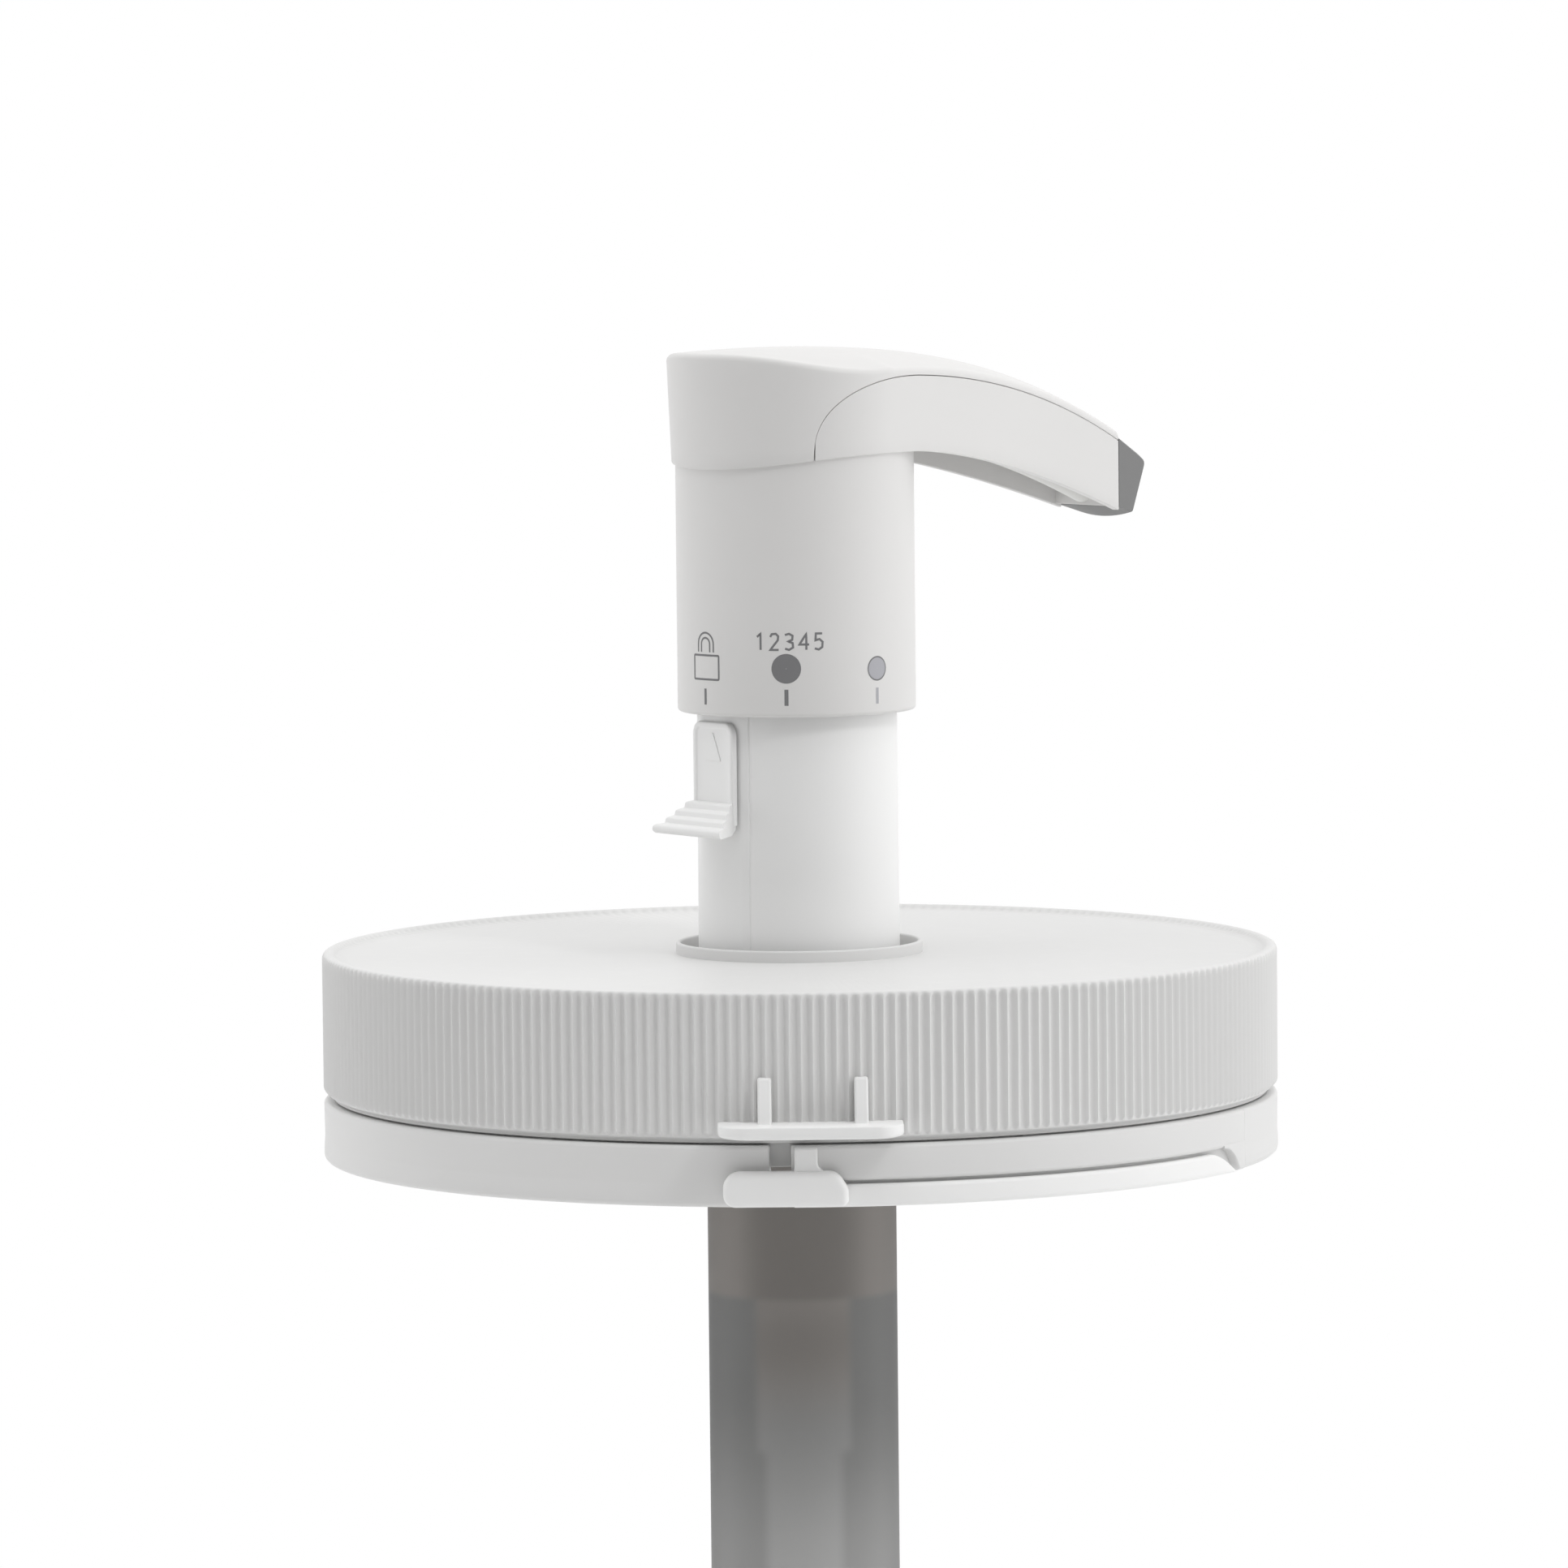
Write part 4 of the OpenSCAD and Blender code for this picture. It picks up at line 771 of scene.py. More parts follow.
def column_shell():
    """The column as one grid of angles and section rows: bore, flange, outer wall and rounded top. The cells
    of the slot are left out of the outer wall and the bore, and four walls close it."""
    even = np.arange(-180, 180, 1.5)
    even = even[np.abs(np.abs(even) - RAIL_HALF + 1) > 4]
    step = RAIL_HALF + np.array([-4.8, -3.9, -2.9, -1.9, -0.9, -0.4, 0, 0.1, 0.2, 0.3, 0.4, 0.9, 1.4, 2, 2.8])
    phi = np.unique(np.round(np.concatenate([even, step, -step, [SLOT_HALF, -SLOT_HALF]]), 3))
    heights = [FLANGE_TOP, 6, 12, 18, SLOT_LOW, SLOT_TOP, 36, 43, 49.6]
    rows = [(BORE_R, FLANGE_LOW), (FLANGE_R - 0.2, FLANGE_LOW), (FLANGE_R, FLANGE_LOW + 0.2),
            (FLANGE_R, FLANGE_TOP - 0.2), (FLANGE_R - 0.2, FLANGE_TOP)]
    low, top = len(rows) + heights.index(SLOT_LOW), len(rows) + heights.index(SLOT_TOP)
    rows += [(column_radius(phi, z), z) for z in heights]
    rows += [(column_radius(phi, COLUMN_TOP) - 0.4, COLUMN_TOP), (BORE_R + 0.2, COLUMN_TOP),
             (BORE_R, COLUMN_TOP - 0.2), (BORE_R, SLOT_TOP), (BORE_R, SLOT_LOW)]
    points = np.stack([around(r, np.radians(phi) + RAIL_TURN, z) for r, z in rows])
    n, m = len(rows), len(phi)
    faces = grid_faces(n, m, closed_rows=True, closed_columns=True)
    row, column = np.divmod(np.arange(n * m), m)
    inner_top, inner_low = n - 2, n - 1
    left, right = (int(np.argmin(np.abs(phi - side))) for side in (-SLOT_HALF, SLOT_HALF))
    hole = ((row == low) | (row == inner_top)) & (column >= left) & (column < right)
    faces = list(faces[~hole])
    for j in (left, right):
        faces.append([low * m + j, top * m + j, inner_top * m + j, inner_low * m + j])
    for j in range(left, right):
        for outer, inner in ((low, inner_low), (top, inner_top)):
            faces.append([outer * m + j, outer * m + j + 1, inner * m + j + 1, inner * m + j])
    return points, faces


class PUMP_OT_column(bpy.types.Operator):
    """Builds the column with its flange, the slider's rail and slot"""
    bl_idname = "pump.column"
    bl_label = "Column"

    def execute(self, context):
        column = put_mesh("column_shell", *column_shell(), finish("column white"), "base", ("column",),
                          "white_satin")
        point_outwards(column)
        mark_sharp(column, 40)
        return {"FINISHED"}


# The return spring

SPRING_LOW = 6.75
SPRING_TOP = 41.2
SPRING_TURNS = 9
SPRING_R = 7.4
WIRE_R = 0.65


def spring_wire():
    """Rings of a round wire along a helix: the wire's middle is at radius SPRING_R and angle t, and its
    height rises evenly from SPRING_LOW to SPRING_TOP. Each ring lies in the plane square to the helix."""
    t = np.linspace(0, SPRING_TURNS, SPRING_TURNS * 32 + 1) * TAU
    rise = (SPRING_TOP - SPRING_LOW) / (SPRING_TURNS * TAU)
    out = around(1, t, 0)
    along = around(SPRING_R, t + TAU / 4, rise)
    along /= np.linalg.norm(along, axis=1, keepdims=True)
    up = np.cross(out, along)
    sides = 12
    a = np.arange(sides)[:, None] * TAU / sides
    points = around(SPRING_R, t, SPRING_LOW + rise * t)[:, None]
    points = points + WIRE_R * (np.cos(a) * out[:, None] + np.sin(a) * up[:, None])
    return points, tube_faces(len(t), sides)


class PUMP_OT_spring(bpy.types.Operator):
    """Builds the return spring as one fixed helix between the guide sleeve's floor and the plunger's collar,
    where the real spring shortens
    """
    bl_idname = "pump.spring"
    bl_label = "Return spring"

    def execute(self, context):
        spring = put_mesh("return_spring_wire", *spring_wire(), finish("spring steel"), None,
                          ("return_spring",), "spring_steel")
        point_outwards(spring)
        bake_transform(spring)
        return {"FINISHED"}


# The stop slider on the column's rail

PLATE_HALF = 4.2
PLATE_LOW = 20.0
PLATE_TOP = 32.9
PLATE_BACK = 12.72
PLATE_FRONT = 13.2
PLATE_EDGE = 0.3
BORDER = 0.98
FIELD_DEPTH = 0.15
WING_ROOT = 4.15
WING_TIP = 7.2
WING_OUT = 17.35
TONGUE_LOW = 26.6
TONGUE_TOP = 31.6
SLIDER = {"body": "slider", "nodes": ("stop_slider",), "slot": "white_satin"}


def plate_surface():
    """The slider's plate. From the outline (a rectangle with rounded top corners) rows run from the curved
    back, which stands just off the rail, over the rounded front edge, across the raised border, down into the
    field and on to the middle line."""
    outline = rounded([
        (-PLATE_HALF, PLATE_LOW, 0.2), (-PLATE_HALF, PLATE_TOP, 1.6), (PLATE_HALF, PLATE_TOP, 1.6),
        (PLATE_HALF, PLATE_LOW, 0.2)], 10)
    normal = left_of(outline)
    middle = np.stack([0 * outline[:, 0], np.clip(outline[:, 1], PLATE_LOW + 2.5, PLATE_TOP - 2)], -1)
    rows = []
    for share in (1, 0.5, 0):
        p = inset(outline, normal, middle, 0.02, share)
        rows.append((PLATE_BACK - 0.0175 * p[:, 0] ** 2, p))
    for a in np.radians(np.linspace(0, 90, 5)):
        rows.append((PLATE_FRONT - PLATE_EDGE * (1 - math.sin(a)),
                     inset(outline, normal, middle, PLATE_EDGE * (1 - math.cos(a)))))
    for distance, depth in ((0.62, 0), (0.74, 0.03), (0.86, 0.12), (BORDER, FIELD_DEPTH)):
        rows.append((PLATE_FRONT - depth, inset(outline, normal, middle, distance)))
    for share in (0.35, 0.7, 1):
        rows.append((PLATE_FRONT - FIELD_DEPTH, inset(outline, normal, middle, BORDER, share)))
    points = np.stack([np.column_stack([x + 0 * p[:, 0], p]) for x, p in rows])
    return turn_z(points, RAIL_TURN), grid_faces(len(rows), len(outline), closed_columns=True)


def wing_surface():
    """The flared finger ledge: a stepped section (x out, z up) carried across y = tau * w(x), where w grows
    evenly from about the plate's half width to the tip's."""
    section = rounded([
        (12.6, 19.6, 0), (12.6, 22.9, 0), (PLATE_FRONT, 22.85, 0.3), (13.95, 22.65, 0.35),
        (14.1, 21.95, 0.15), (14.95, 21.65, 0.35), (15.1, 21.0, 0.15), (15.95, 20.7, 0.35),
        (16.1, 20.05, 0.15), (WING_OUT, 19.85, 0.52), (WING_OUT, 18.78, 0.52), (13.3, 18.85, 0.5)], 5)
    tau = np.linspace(-1, 1, 9)[:, None]
    x, z = section.T
    width = WING_ROOT + (WING_TIP - WING_ROOT) * np.clip((x - 13.1) / (WING_OUT - 13.1), 0, 1)
    points = np.stack([x + 0 * tau, tau * width, z + 0 * tau], axis=-1)
    return turn_z(points, RAIL_TURN), tube_faces(len(tau), len(section))


class PUMP_OT_slider(bpy.types.Operator):
    """Builds the stop slider: bordered plate, arrow mark, stepped finger ledge, tongue and hook"""
    bl_idname = "pump.slider"
    bl_label = "Stop slider"

    def execute(self, context):
        white = finish("column white")
        plate = put_mesh("slider_plate", *plate_surface(), white, **SLIDER)
        weld(plate)
        point_outwards(plate)
        mark_sharp(plate, 50)
        wing = put_mesh("slider_wing", *wing_surface(), white, **SLIDER)
        point_outwards(wing)
        add_bevel(wing, 0.3, 50)
        mark_sharp(wing, 50)
        out, across = looking(RAIL_TURN)
        axes = across, UP, out
        arrow = rounded([(-1.75, 28.0, 0.15), (1.75, 28.0, 0.15), (0, 31.8, 0.2)], 4)
        put_plate("slider_arrow", arrow, 13.0, 13.17, white, axes, 0.06, **SLIDER)
        for name, half, low, high in (("slider_tongue", 1.9, 9.9, 12.85), ("slider_hook", 3.0, 9.2, 10.0)):
            bar = rounded([(-half, TONGUE_LOW, 0.3), (half, TONGUE_LOW, 0.3), (half, TONGUE_TOP, 0.3),
                           (-half, TONGUE_TOP, 0.3)], 3)
            put_plate(name, bar, low, high, white, axes, 0.1, **SLIDER)
        return {"FINISHED"}


# Printed marks on the sleeve

PRINT_R = 14.965
LOCK_X = PRINT_R * math.radians(-49.2)
LOCK_LOW = 38.35
LOCK_TOP = 41.35
LOCK_HALF = 2.3
SHACKLE_Z = 42.75
DOT_LARGE = (PRINT_R * math.radians(-5.0), 39.9, 1.85)
DOT_SMALL = (PRINT_R * math.radians(42.0), 39.6, 1.45)
TICK_LOCK_X = PRINT_R * math.radians(-49.5)
TICK_LEN = 2
NUMBERS_X = PRINT_R * math.radians(-20.0)
NUMBERS_Z = 42.25
NUMBER_STEP = 1.85
NUMBERS = {
    1: [(0.25, 1.6), (0.7, 2.0), (0.7, 0.0)],
    2: [(0.1, 1.6), (0.3, 1.95), (0.8, 2.0), (1.1, 1.7), (1.05, 1.2), (0.1, 0.0), (1.15, 0.0)],
    3: [(0.1, 1.85), (0.6, 2.0), (1.05, 1.75), (1.0, 1.25), (0.5, 1.05), (1.05, 0.85), (1.1, 0.3), (0.6, 0.0),
        (0.1, 0.15)],
    4: [(0.9, 0.0), (0.9, 2.0), (0.05, 0.65), (1.25, 0.65)],
    5: [(1.05, 2.0), (0.25, 2.0), (0.2, 1.15), (0.7, 1.3), (1.1, 0.95), (1.05, 0.3), (0.6, 0.0), (0.1, 0.15)],
}


def stroke(path, width, closed=False):
    """A line of even width along a path: each point is moved to both sides along the mean normal of its two
    pieces, by half the width over the cosine of half the turn there."""
    p = np.asarray(path, float)
    if closed:
        p = np.vstack([p, p[:1]])
    p = np.vstack([a + (b - a) * np.linspace(0, 1, 5)[:4, None] for a, b in zip(p[:-1], p[1:])] + [p[-1:]])
    if closed:
        p = p[:-1]
        ahead, behind = np.roll(p, -1, 0) - p, p - np.roll(p, 1, 0)
    else:
        step = np.diff(p, axis=0)
        ahead, behind = np.vstack([step, step[-1:]]), np.vstack([step[:1], step])
    ahead, behind = (v / np.linalg.norm(v, axis=1, keepdims=True) for v in (ahead, behind))
    mean = ahead + behind
    mean /= np.linalg.norm(mean, axis=1, keepdims=True)
    side = np.stack([-mean[:, 1], mean[:, 0]], -1) / np.clip((mean * ahead).sum(1), 0.5, 1)[:, None]
    points = np.stack([p - side * width / 2, p + side * width / 2])
    return points, grid_faces(2, len(p), closed_columns=closed)


def disc(x, z, radius):
    """A round dot as rings: centre + radius * k * (cos a, sin a)."""
    rings, columns = 6, 48
    k = np.linspace(0.02, 1, rings)[:, None]
    points = around(radius * k, np.linspace(0, TAU, columns, endpoint=False), 0)[..., :2] + (x, z)
    return points, grid_faces(rings, columns, closed_columns=True)


def arc_path(x, z, radius, end, steps):
    """Points of an arc from the right, against the clock."""
    return around(radius, np.radians(np.linspace(0, end, steps)), 0)[:, :2] + (x, z)


def put_print(name, shape, ink):
    """A flat print (x along the sleeve's girth from the front, z) laid on the sleeve: angle = x / radius."""
    flat, faces = shape
    points = around(PRINT_R, flat[..., 0] / PRINT_R - TAU / 4, flat[..., 1])
    put_mesh(name, points, faces, ink, "head", slot="white_satin")


class PUMP_OT_prints(bpy.types.Operator):
    """Prints the marks on the sleeve: a lock picture, two dots, three ticks and a row of plain numbers"""
    bl_idname = "pump.prints"
    bl_label = "Printed marks"

    def execute(self, context):
        ink, pale = finish("print grey"), finish("pale print")
        for name, x, low, width, look in (
                ("tick_lock", TICK_LOCK_X, 35.2, 0.42, ink), ("tick_start", DOT_LARGE[0], 35.3, 0.5, ink),
                ("tick_small", DOT_SMALL[0], 35.2, 0.42, pale)):
            put_print(name, stroke([(x, low), (x, low + TICK_LEN)], width), look)
        put_print("dot_large", disc(*DOT_LARGE), ink)
        put_print("dot_small", disc(*DOT_SMALL), pale)
        put_print("dot_small_rim", stroke(arc_path(*DOT_SMALL, 360, 49)[:-1], 0.18, True), ink)
        left, right = LOCK_X - LOCK_HALF, LOCK_X + LOCK_HALF
        box = rounded([(left, LOCK_LOW, 0.15), (right, LOCK_LOW, 0.15), (right, LOCK_TOP, 0.15),
                       (left, LOCK_TOP, 0.15)], 3)
        put_print("lock_box", stroke(box, 0.26, True), ink)
        for name, radius in (("lock_shackle_outer", 1.42), ("lock_shackle_inner", 0.78)):
            path = np.vstack([
                [(LOCK_X + radius, SHACKLE_Z - 1)], arc_path(LOCK_X, SHACKLE_Z, radius, 180, 16),
                [(LOCK_X - radius, SHACKLE_Z - 1)]])
            put_print(name, stroke(path, 0.24), ink)
        for number, path in NUMBERS.items():
            corner = NUMBERS_X + NUMBER_STEP * (number - 1), NUMBERS_Z
            put_print(f"number_{number}", stroke(np.asarray(path) + corner, 0.27), ink)
        return {"FINISHED"}


# Finishes

# Heights of the pieces behind the tube for its painted see-through shading, and the strength of its painted
# paler core
TUBE_GUIDE_END = -0.0394
TUBE_HOUSING_END = -0.0586
TUBE_BALL = -0.0448
TUBE_PAINTED_CORE = 0.3


def connect(tree, node, inputs):
    """Gives a node's inputs their values, or a link where the value is another node's output."""
    for key, value in inputs.items():
        if isinstance(value, bpy.types.NodeSocket):
            tree.links.new(value, node.inputs[key])
        else:
            node.inputs[key].default_value = value


def add_node(tree, kind, x=0, y=0, inputs=None, **settings):
    node = tree.nodes.new(kind)
    node.location = x, y
    for key, value in settings.items():
        setattr(node, key, value)
    connect(tree, node, inputs or {})
    return node


def add_math(tree, kind, x, y, *inputs):
    return add_node(tree, "ShaderNodeMath", x, y, dict(enumerate(inputs)), operation=kind).outputs[0]


def moulded_group():
    """Shared effect: a moulded plastic skin. Broad noise shifts the colour a little, middling noise makes
    worn, smoother patches, and fine noise gives the grain of the mould as a normal."""
    name = "Moulded skin"
    if name in bpy.data.node_groups:
        return bpy.data.node_groups[name]
    tree = bpy.data.node_groups.new(name, "ShaderNodeTree")
    face = tree.interface
    face.new_socket("Colour", in_out="INPUT", socket_type="NodeSocketColor")
    for label, value in (("Roughness", 0.4), ("Wear", 0.06), ("Grain", 0.15), ("Grain scale", 5200.0)):
        face.new_socket(label, in_out="INPUT", socket_type="NodeSocketFloat").default_value = value
    for label, kind in (("Colour", "Color"), ("Roughness", "Float"), ("Normal", "Vector")):
        face.new_socket(label, in_out="OUTPUT", socket_type=f"NodeSocket{kind}")
    take = add_node(tree, "NodeGroupInput", -900)
    place = add_node(tree, "ShaderNodeTexCoord", -900, -300).outputs["Object"]
    broad = add_node(tree, "ShaderNodeTexNoise", -650, 200, {"Vector": place, "Scale": 38.0, "Detail": 3.0})
    patches = add_node(tree, "ShaderNodeTexNoise", -650, -50, {
        "Vector": place, "Scale": 260.0, "Detail": 5.0, "Roughness": 0.62})
    grain = add_node(tree, "ShaderNodeTexNoise", -650, -350, {
        "Vector": place, "Scale": take.outputs["Grain scale"], "Detail": 2.0})
    tone = add_node(tree, "ShaderNodeMapRange", -400, 200, {
        "Value": broad.outputs["Fac"], "To Min": 0.972, "To Max": 1.028})
    shade = add_node(tree, "ShaderNodeVectorMath", -150, 250, {
        0: take.outputs["Colour"], "Scale": tone.outputs["Result"]}, operation="SCALE")
    worn = add_node(tree, "ShaderNodeMapRange", -400, -50, {
        "Value": patches.outputs["Fac"], "From Min": 0.52, "From Max": 0.72})
    change = add_math(tree, "MULTIPLY", -150, -50, worn.outputs["Result"], take.outputs["Wear"])
    rough = add_math(tree, "SUBTRACT", 50, -50, take.outputs["Roughness"], change)
    bump = add_node(tree, "ShaderNodeBump", 200, -350, {
        "Distance": 0.00002, "Strength": take.outputs["Grain"], "Height": grain.outputs["Fac"]})
    add_node(tree, "NodeGroupOutput", 700, inputs={
        "Colour": shade.outputs["Vector"], "Roughness": rough, "Normal": bump.outputs["Normal"]})
    return tree


def plastic(name, colour, roughness, wear=0.06, grain=0.15, scale=5200.0, transmission=0.0, ior=1.46,
            metallic=0.0):
    """A Principled finish whose colour, roughness and normal come from the moulded skin."""
    material = bpy.data.materials.new(name)
    material.use_nodes = True
    tree = material.node_tree
    skin = add_node(tree, "ShaderNodeGroup", -350, inputs={
        "Colour": (*colour, 1), "Roughness": roughness, "Wear": wear, "Grain": grain, "Grain scale": scale},
        node_tree=moulded_group())
    connect(tree, tree.nodes["Principled BSDF"], {
        "Metallic": metallic, "Transmission Weight": transmission, "IOR": ior,
        "Base Color": skin.outputs["Colour"], "Roughness": skin.outputs["Roughness"],
        "Normal": skin.outputs["Normal"]})
    material.diffuse_color = (*colour, 1)
    return material


def paint_see_through_shade(material):
    """Painted see-through light and shade: the soft outlines of the pieces behind the tube's frosted wall are
    painted into its colour. Down to the guide sleeve's end the tone is painted warm, with paler flanks of
    painted light; below it a paler core of painted light marks the valve housing and then the thinner lower
    rod, and the discharge ball is a spot of painted shade. Half widths come from the facing, 1 - sqrt(1 - (r
    / R)^2); the wall brightens downwards, a painted shade that leaves it darker near the lid, and painted
    shade darkens it towards its edges."""
    tree = material.node_tree
    skin = next(node for node in tree.nodes if node.type == "GROUP")
    colour = skin.inputs["Colour"].default_value[:3]
    place = add_node(tree, "ShaderNodeTexCoord", -1700)
    z = add_node(tree, "ShaderNodeSeparateXYZ", -1550, inputs={0: place.outputs["Object"]}).outputs["Z"]
    side = add_node(tree, "ShaderNodeLayerWeight", -1550, -300).outputs["Facing"]

    def ramp(source, start, end, low, high, y):
        return add_node(tree, "ShaderNodeMapRange", -1300, y, {
            "Value": source, "From Min": start, "From Max": end, "To Min": low, "To Max": high},
            interpolation_type="SMOOTHSTEP").outputs["Result"]

    def blend(factor, first, second, x, y):
        inputs = {"Factor": factor, "A": first, "B": second}
        return add_node(tree, "ShaderNodeMix", x, y, inputs).outputs["Result"]

    # Painted shade: the wall is painted lighter downwards and darker near the lid
    low = ramp(z, -0.05, -0.074, 1.0, 1.55, 0)
    sleeve = ramp(z, TUBE_GUIDE_END - 0.0006, TUBE_GUIDE_END + 0.0006, 0.0, 1.0, -200)
    house = ramp(z, TUBE_HOUSING_END - 0.001, TUBE_HOUSING_END + 0.001, 0.0, 1.0, -400)
    wide = ramp(side, 0.10, 0.18, 1.0, 0.0, -600)
    thin = ramp(side, 0.06, 0.13, 1.0, 0.0, -800)
    # Painted light: paler flanks
    painted_flank_light = ramp(side, 0.07, 0.3, 0.98, 1.24, -1000)
    ends = ramp(z, -0.104, -0.084, 0.0, 1.0, -1800)
    # Painted light: a paler core where the valve housing and the lower rod lie behind the wall
    painted_core = add_math(tree, "MULTIPLY", -950, -600, blend(house, thin, wide, -1050, -500), ends)
    pale = add_math(tree, "MULTIPLY_ADD", -900, -500, painted_core, TUBE_PAINTED_CORE, 1.0)
    # Painted shade: a darker spot where the discharge ball lies behind the wall
    away = add_math(tree, "ABSOLUTE", -1400, -1200, add_math(tree, "ADD", -1450, -1200, z, -TUBE_BALL))
    painted_ball_shade = add_math(tree, "MULTIPLY", -900, -1000, ramp(away, 0.0, 0.008, 0.2, 0.0, -1200), wide)
    below = add_math(tree, "SUBTRACT", -750, -600, pale, painted_ball_shade)
    level = add_math(tree, "MULTIPLY", -450, -300, low, blend(sleeve, below, painted_flank_light, -600, -500))
    # Painted shade: darker towards the edges as the wall turns away
    level = add_math(tree, "MULTIPLY", -300, -300, level, ramp(side, 0.35, 0.8, 1.0, 0.78, -1600))
    # Painted see-through tint: the warm tone of the inner pieces showing through the wall
    inside = add_math(tree, "MULTIPLY", -750, -900, painted_core, ramp(z, -0.057, -0.046, 0.0, 1.0, -1400))
    warm = add_math(tree, "MAXIMUM", -600, -800, sleeve, inside)
    tint = add_node(tree, "ShaderNodeMix", -450, -700, {
        "Factor": warm, "A": (*colour, 1), "B": (colour[0] * 1.03, colour[1] * 0.97, colour[2] * 0.93, 1)},
        data_type="RGBA")
    shade = add_node(tree, "ShaderNodeVectorMath", -520, inputs={0: tint.outputs["Result"], "Scale": level},
                     operation="SCALE")
    connect(tree, skin, {"Colour": shade.outputs["Vector"]})
    return material


def finish(name):
    """The finish of that name, made when it is first asked for."""
    if name in bpy.data.materials:
        return bpy.data.materials[name]
    c = group("pump_colours")
    makers = {
        "white satin": lambda: plastic(name, c.white, 0.42),
        "lid white": lambda: plastic(name, c.lid, 0.46, 0.05, 0.12),
        "natural plastic": lambda: plastic(name, c.natural, 0.38, 0.05, 0.1),
        # Lid white made lighter as a painted highlight for the ledge, gussets, tear strip and tab
        "painted highlight white": lambda: plastic(name, c.bright, 0.46, 0.05, 0.12),
        "column white": lambda: plastic(name, c.column, 0.4, 0.05, 0.12),
        # The tube's finish carries painted see-through light and shade
        "frosted tube with painted shade": lambda: paint_see_through_shade(plastic(name, c.tube, 0.55, 0.04, 0.1, transmission=0.3, ior=1.2)),
        "grey tip": lambda: plastic(name, c.tip, 0.5, 0.06, 0.2),
        "print grey": lambda: plastic(name, c.print_grey, 0.55, 0.03, 0.1, 9000.0),
        "pale print": lambda: plastic(name, c.print_pale, 0.55, 0.03, 0.1, 9000.0),
        "seal rubber": lambda: plastic(name, (0.05, 0.05, 0.052), 0.62, 0.05, 0.25, 3500.0),
        "liner foam": lambda: plastic(name, (0.74, 0.74, 0.73), 0.75, 0.03, 0.6, 2600.0),
        "spring steel": lambda: plastic(name, (0.62, 0.62, 0.64), 0.26, 0.08, 0.12, 4000.0, metallic=1.0),
    }
    return makers[name]()


NODE_FINISHES = {
    "lid_liner": "liner foam", "column_gasket": "seal rubber",
    "column_nut": "natural plastic", "column_bush": "natural plastic", "guide_sleeve": "natural plastic",
    "rod_wiper": "seal rubber", "pump_cylinder": "frosted tube with painted shade", "foot_valve_seat": "natural plastic",
    "foot_valve_cage": "natural plastic", "piston_rod": "natural plastic", "spring_collar": "natural plastic",
    "valve_housing": "natural plastic", "discharge_seat": "natural plastic",
    "lower_rod": "natural plastic", "piston": "natural plastic", "piston_seal": "seal rubber",
    "piston_retainer": "natural plastic", "swivel_clip": "spring steel", "spout_elbow": "natural plastic",
    "spout_tube": "natural plastic", "outlet_valve": "seal rubber", "inlet_ball": "spring steel",
    "discharge_ball": "spring steel",
}


class PUMP_OT_finishes(bpy.types.Operator):
    """Gives the pump's inner pieces and its cylinder their finishes"""
    bl_idname = "pump.finishes"
    bl_label = "Finishes of the other pieces"

    def execute(self, context):
        for node, name in NODE_FINISHES.items():
            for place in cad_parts[node].material_slots:
                place.material = finish(name)
        return {"FINISHED"}


# Stage, light and camera. The room's lobes are (axis, power, strength).

ROOM = (
    ((1, 0, 0), 8, 2.75), ((0.707, 0.707, 0), 2, 0.13), ((0, 1, 0), 2, 0.22), ((-0.707, 0.707, 0), 2, 0.55),
    ((-1, 0, 0), 8, 1.45), ((0, 0, 1), 2, 1.75))
FLOOR_Z = -0.16505
FLOOR_NEAR = 0.2
FLOOR_FAR = 0.55
CAMERA_PLACE = (-0.00172, -1.2755, 0.12449)
CAMERA_DOWN = 0.0783
CAMERA_ROLL = -0.0102
CAMERA_LENS = 233.94


def stage_world():
    """White to the camera and in reflections. The light itself comes from a soft room whose strength is a sum
    of lobes, each strength * max(0, d . axis) ^ power: most from above and from the right, less from the
    left."""
    world = bpy.data.worlds.new("Studio")
    world.use_nodes = True
    bpy.context.scene.world = world
    tree = world.node_tree
    tree.nodes.clear()
    place = add_node(tree, "ShaderNodeTexCoord", -1100).outputs["Generated"]
    total = 0
    for k, (axis, power, strength) in enumerate(ROOM):
        y = -180 * k
        toward = add_node(tree, "ShaderNodeVectorMath", -900, y, {0: place, 1: axis}, operation="DOT_PRODUCT")
        ahead = add_math(tree, "MAXIMUM", -700, y, toward.outputs["Value"], 0)
        lobe = add_math(tree, "POWER", -500, y, ahead, power)
        total = add_math(tree, "MULTIPLY_ADD", -300, y, lobe, strength, total)
    path = add_node(tree, "ShaderNodeLightPath", -300, 400).outputs
    seen = add_math(tree, "MAXIMUM", -100, 400, path["Is Camera Ray"], path["Is Glossy Ray"])
    clear = add_math(tree, "MAXIMUM", 50, 400, seen, path["Is Transmission Ray"])
    choose = add_node(tree, "ShaderNodeMix", 200, inputs={"Factor": clear, "A": total, "B": 1.0})
    room = add_node(tree, "ShaderNodeBackground", 400, inputs={
        "Color": (1, 1, 1, 1), "Strength": choose.outputs["Result"]})
    add_node(tree, "ShaderNodeOutputWorld", 600, inputs={"Surface": room.outputs[0]})


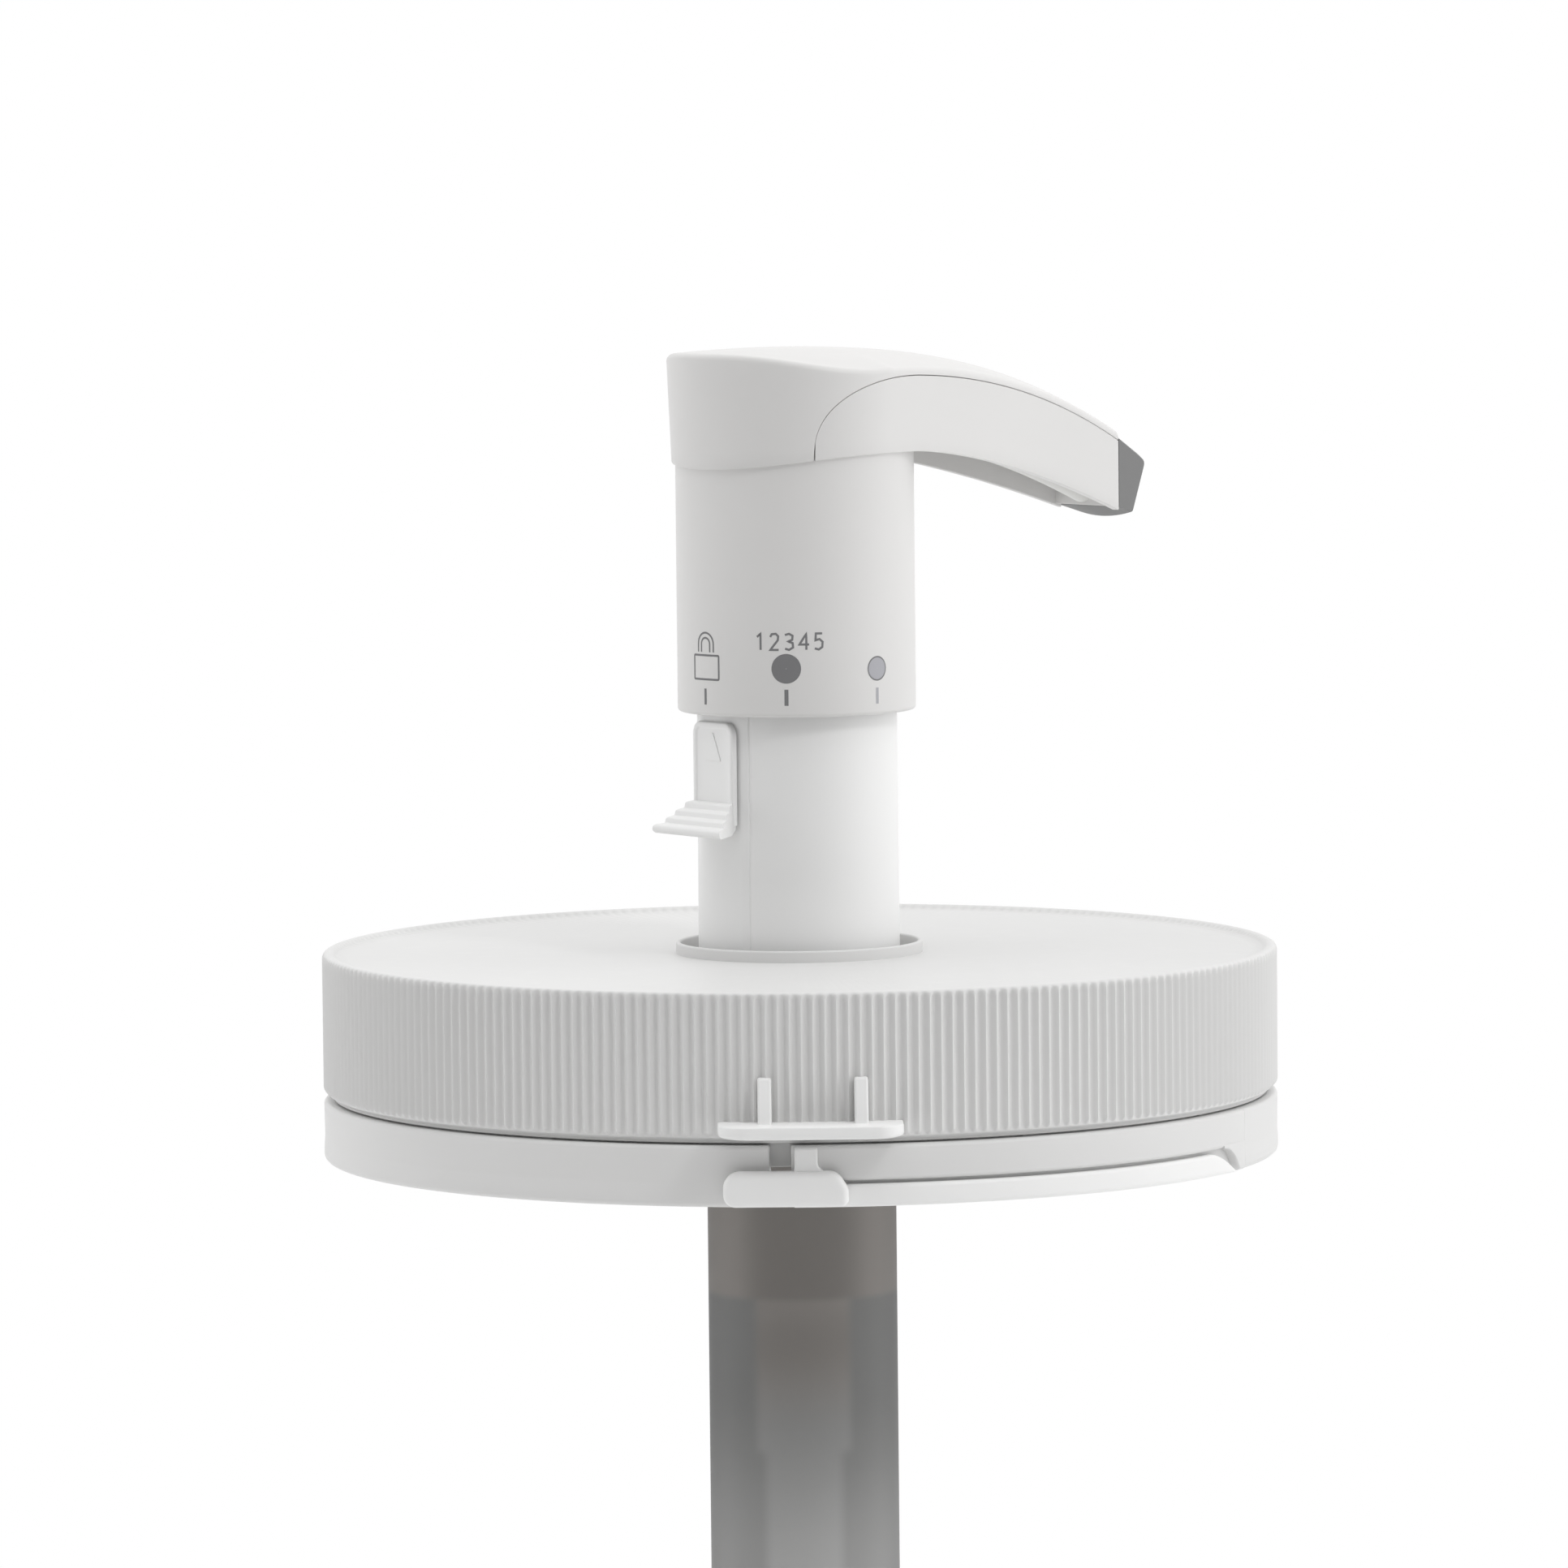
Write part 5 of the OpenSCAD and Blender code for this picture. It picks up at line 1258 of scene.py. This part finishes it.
def floor_finish():
    """Pale and shadowed near the pump, plain white to the camera further out. The mix is a smooth step of the
    distance from the axis."""
    material = bpy.data.materials.new("Pale floor")
    material.use_nodes = True
    tree = material.node_tree
    shader = tree.nodes["Principled BSDF"]
    connect(tree, shader, {"Base Color": (0.86, 0.86, 0.86, 1), "Roughness": 0.9})
    place = add_node(tree, "ShaderNodeTexCoord", -800)
    far = add_node(tree, "ShaderNodeVectorMath", -600, inputs={0: place.outputs["Object"]},
                   operation="LENGTH")
    fade = add_node(tree, "ShaderNodeMapRange", -400, inputs={
        "Value": far.outputs["Value"], "From Min": FLOOR_NEAR, "From Max": FLOOR_FAR},
        interpolation_type="SMOOTHSTEP")
    path = add_node(tree, "ShaderNodeLightPath", -400, 300)
    seen = add_math(tree, "MULTIPLY", -200, 200, fade.outputs["Result"], path.outputs["Is Camera Ray"])
    white = add_node(tree, "ShaderNodeEmission", 0, -300)
    mix = add_node(tree, "ShaderNodeMixShader", 300, inputs={
        "Fac": seen, 1: shader.outputs[0], 2: white.outputs[0]})
    connect(tree, tree.nodes["Material Output"], {"Surface": mix.outputs[0]})
    return material


def add_area(name, direction, distance, width, height, power):
    """A soft lamp that looks at the lid's middle from a direction."""
    lamp = bpy.data.lights.new(name, "AREA")
    lamp.shape = "RECTANGLE"
    lamp.size, lamp.size_y, lamp.energy = width, height, power
    piece = bpy.data.objects.new(name, lamp)
    aim = Vector(direction).normalized()
    piece.location = Vector((0, 0, 0.02)) + aim * distance
    piece.rotation_euler = aim.to_track_quat("Z", "Y").to_euler()
    bpy.context.scene.collection.objects.link(piece)


class PUMP_OT_stage(bpy.types.Operator):
    """Sets the pale floor, the studio light and the camera"""
    bl_idname = "pump.stage"
    bl_label = "Stage, light and camera"

    def execute(self, context):
        scene = bpy.context.scene
        scene.view_settings.view_transform = "Standard"
        stage_world()
        radii = np.concatenate([[0.001], np.geomspace(0.05, 0.9, 12)])
        sides = 64
        points = around(radii[:, None], np.linspace(0, TAU, sides, endpoint=False), 0)
        quads = grid_faces(len(radii), sides, closed_columns=True)
        mesh = bpy.data.meshes.new("floor")
        mesh.from_pydata(points.reshape(-1, 3), [], [list(map(int, f)) for f in quads] + [list(range(sides))])
        mesh.materials.append(floor_finish())
        floor = bpy.data.objects.new("floor", mesh)
        floor.location.z = FLOOR_Z
        scene.collection.objects.link(floor)
        add_area("Key", (0.53, -0.55, 0.64), 1.2, 0.2, 0.2, 2.0)
        camera = bpy.data.cameras.new("Camera")
        camera.lens, camera.sensor_width = CAMERA_LENS, 36.0
        camera.clip_start, camera.clip_end = 0.05, 20.0
        holder = bpy.data.objects.new("Camera", camera)
        turn = Matrix.Rotation(math.pi / 2 - CAMERA_DOWN, 4, "X") @ Matrix.Rotation(CAMERA_ROLL, 4, "Z")
        holder.matrix_world = Matrix.Translation(CAMERA_PLACE) @ turn
        scene.collection.objects.link(holder)
        scene.camera = holder
        return {"FINISHED"}


class PUMP_PT_panel(bpy.types.Panel):
    """Lists the pump's sizes, colours and building steps"""
    bl_idname = "PUMP_PT_panel"
    bl_label = "Hand dispenser pump"
    bl_space_type = "VIEW_3D"
    bl_region_type = "UI"
    bl_category = "Pump"

    def draw(self, context):
        for name, kind in PROPERTIES.items():
            box = self.layout.box()
            values = getattr(context.scene, name)
            for key in kind.__annotations__:
                box.prop(values, key)
        for kind in OPERATORS:
            self.layout.operator(kind.bl_idname)


PROPERTIES = {"pump_lid": PumpLidSizes, "pump_head": PumpHeadSizes, "pump_colours": PumpColours}
OPERATORS = (PUMP_OT_lid, PUMP_OT_band, PUMP_OT_head, PUMP_OT_column, PUMP_OT_spring, PUMP_OT_slider,
             PUMP_OT_prints, PUMP_OT_finishes, PUMP_OT_stage)


def register():
    for name, kind in PROPERTIES.items():
        bpy.utils.register_class(kind)
        setattr(bpy.types.Scene, name, bpy.props.PointerProperty(type=kind))
    for kind in OPERATORS + (PUMP_PT_panel,):
        bpy.utils.register_class(kind)


def unregister():
    for kind in reversed(OPERATORS + (PUMP_PT_panel,)):
        bpy.utils.unregister_class(kind)
    for name, kind in PROPERTIES.items():
        delattr(bpy.types.Scene, name)
        bpy.utils.unregister_class(kind)


def main():
    register()
    bpy.ops.pump.lid()
    bpy.ops.pump.band()
    bpy.ops.pump.head()
    bpy.ops.pump.column()
    bpy.ops.pump.spring()
    bpy.ops.pump.slider()
    bpy.ops.pump.prints()
    bpy.ops.pump.finishes()
    bpy.ops.pump.stage()


if __name__ == "__main__":
    main()
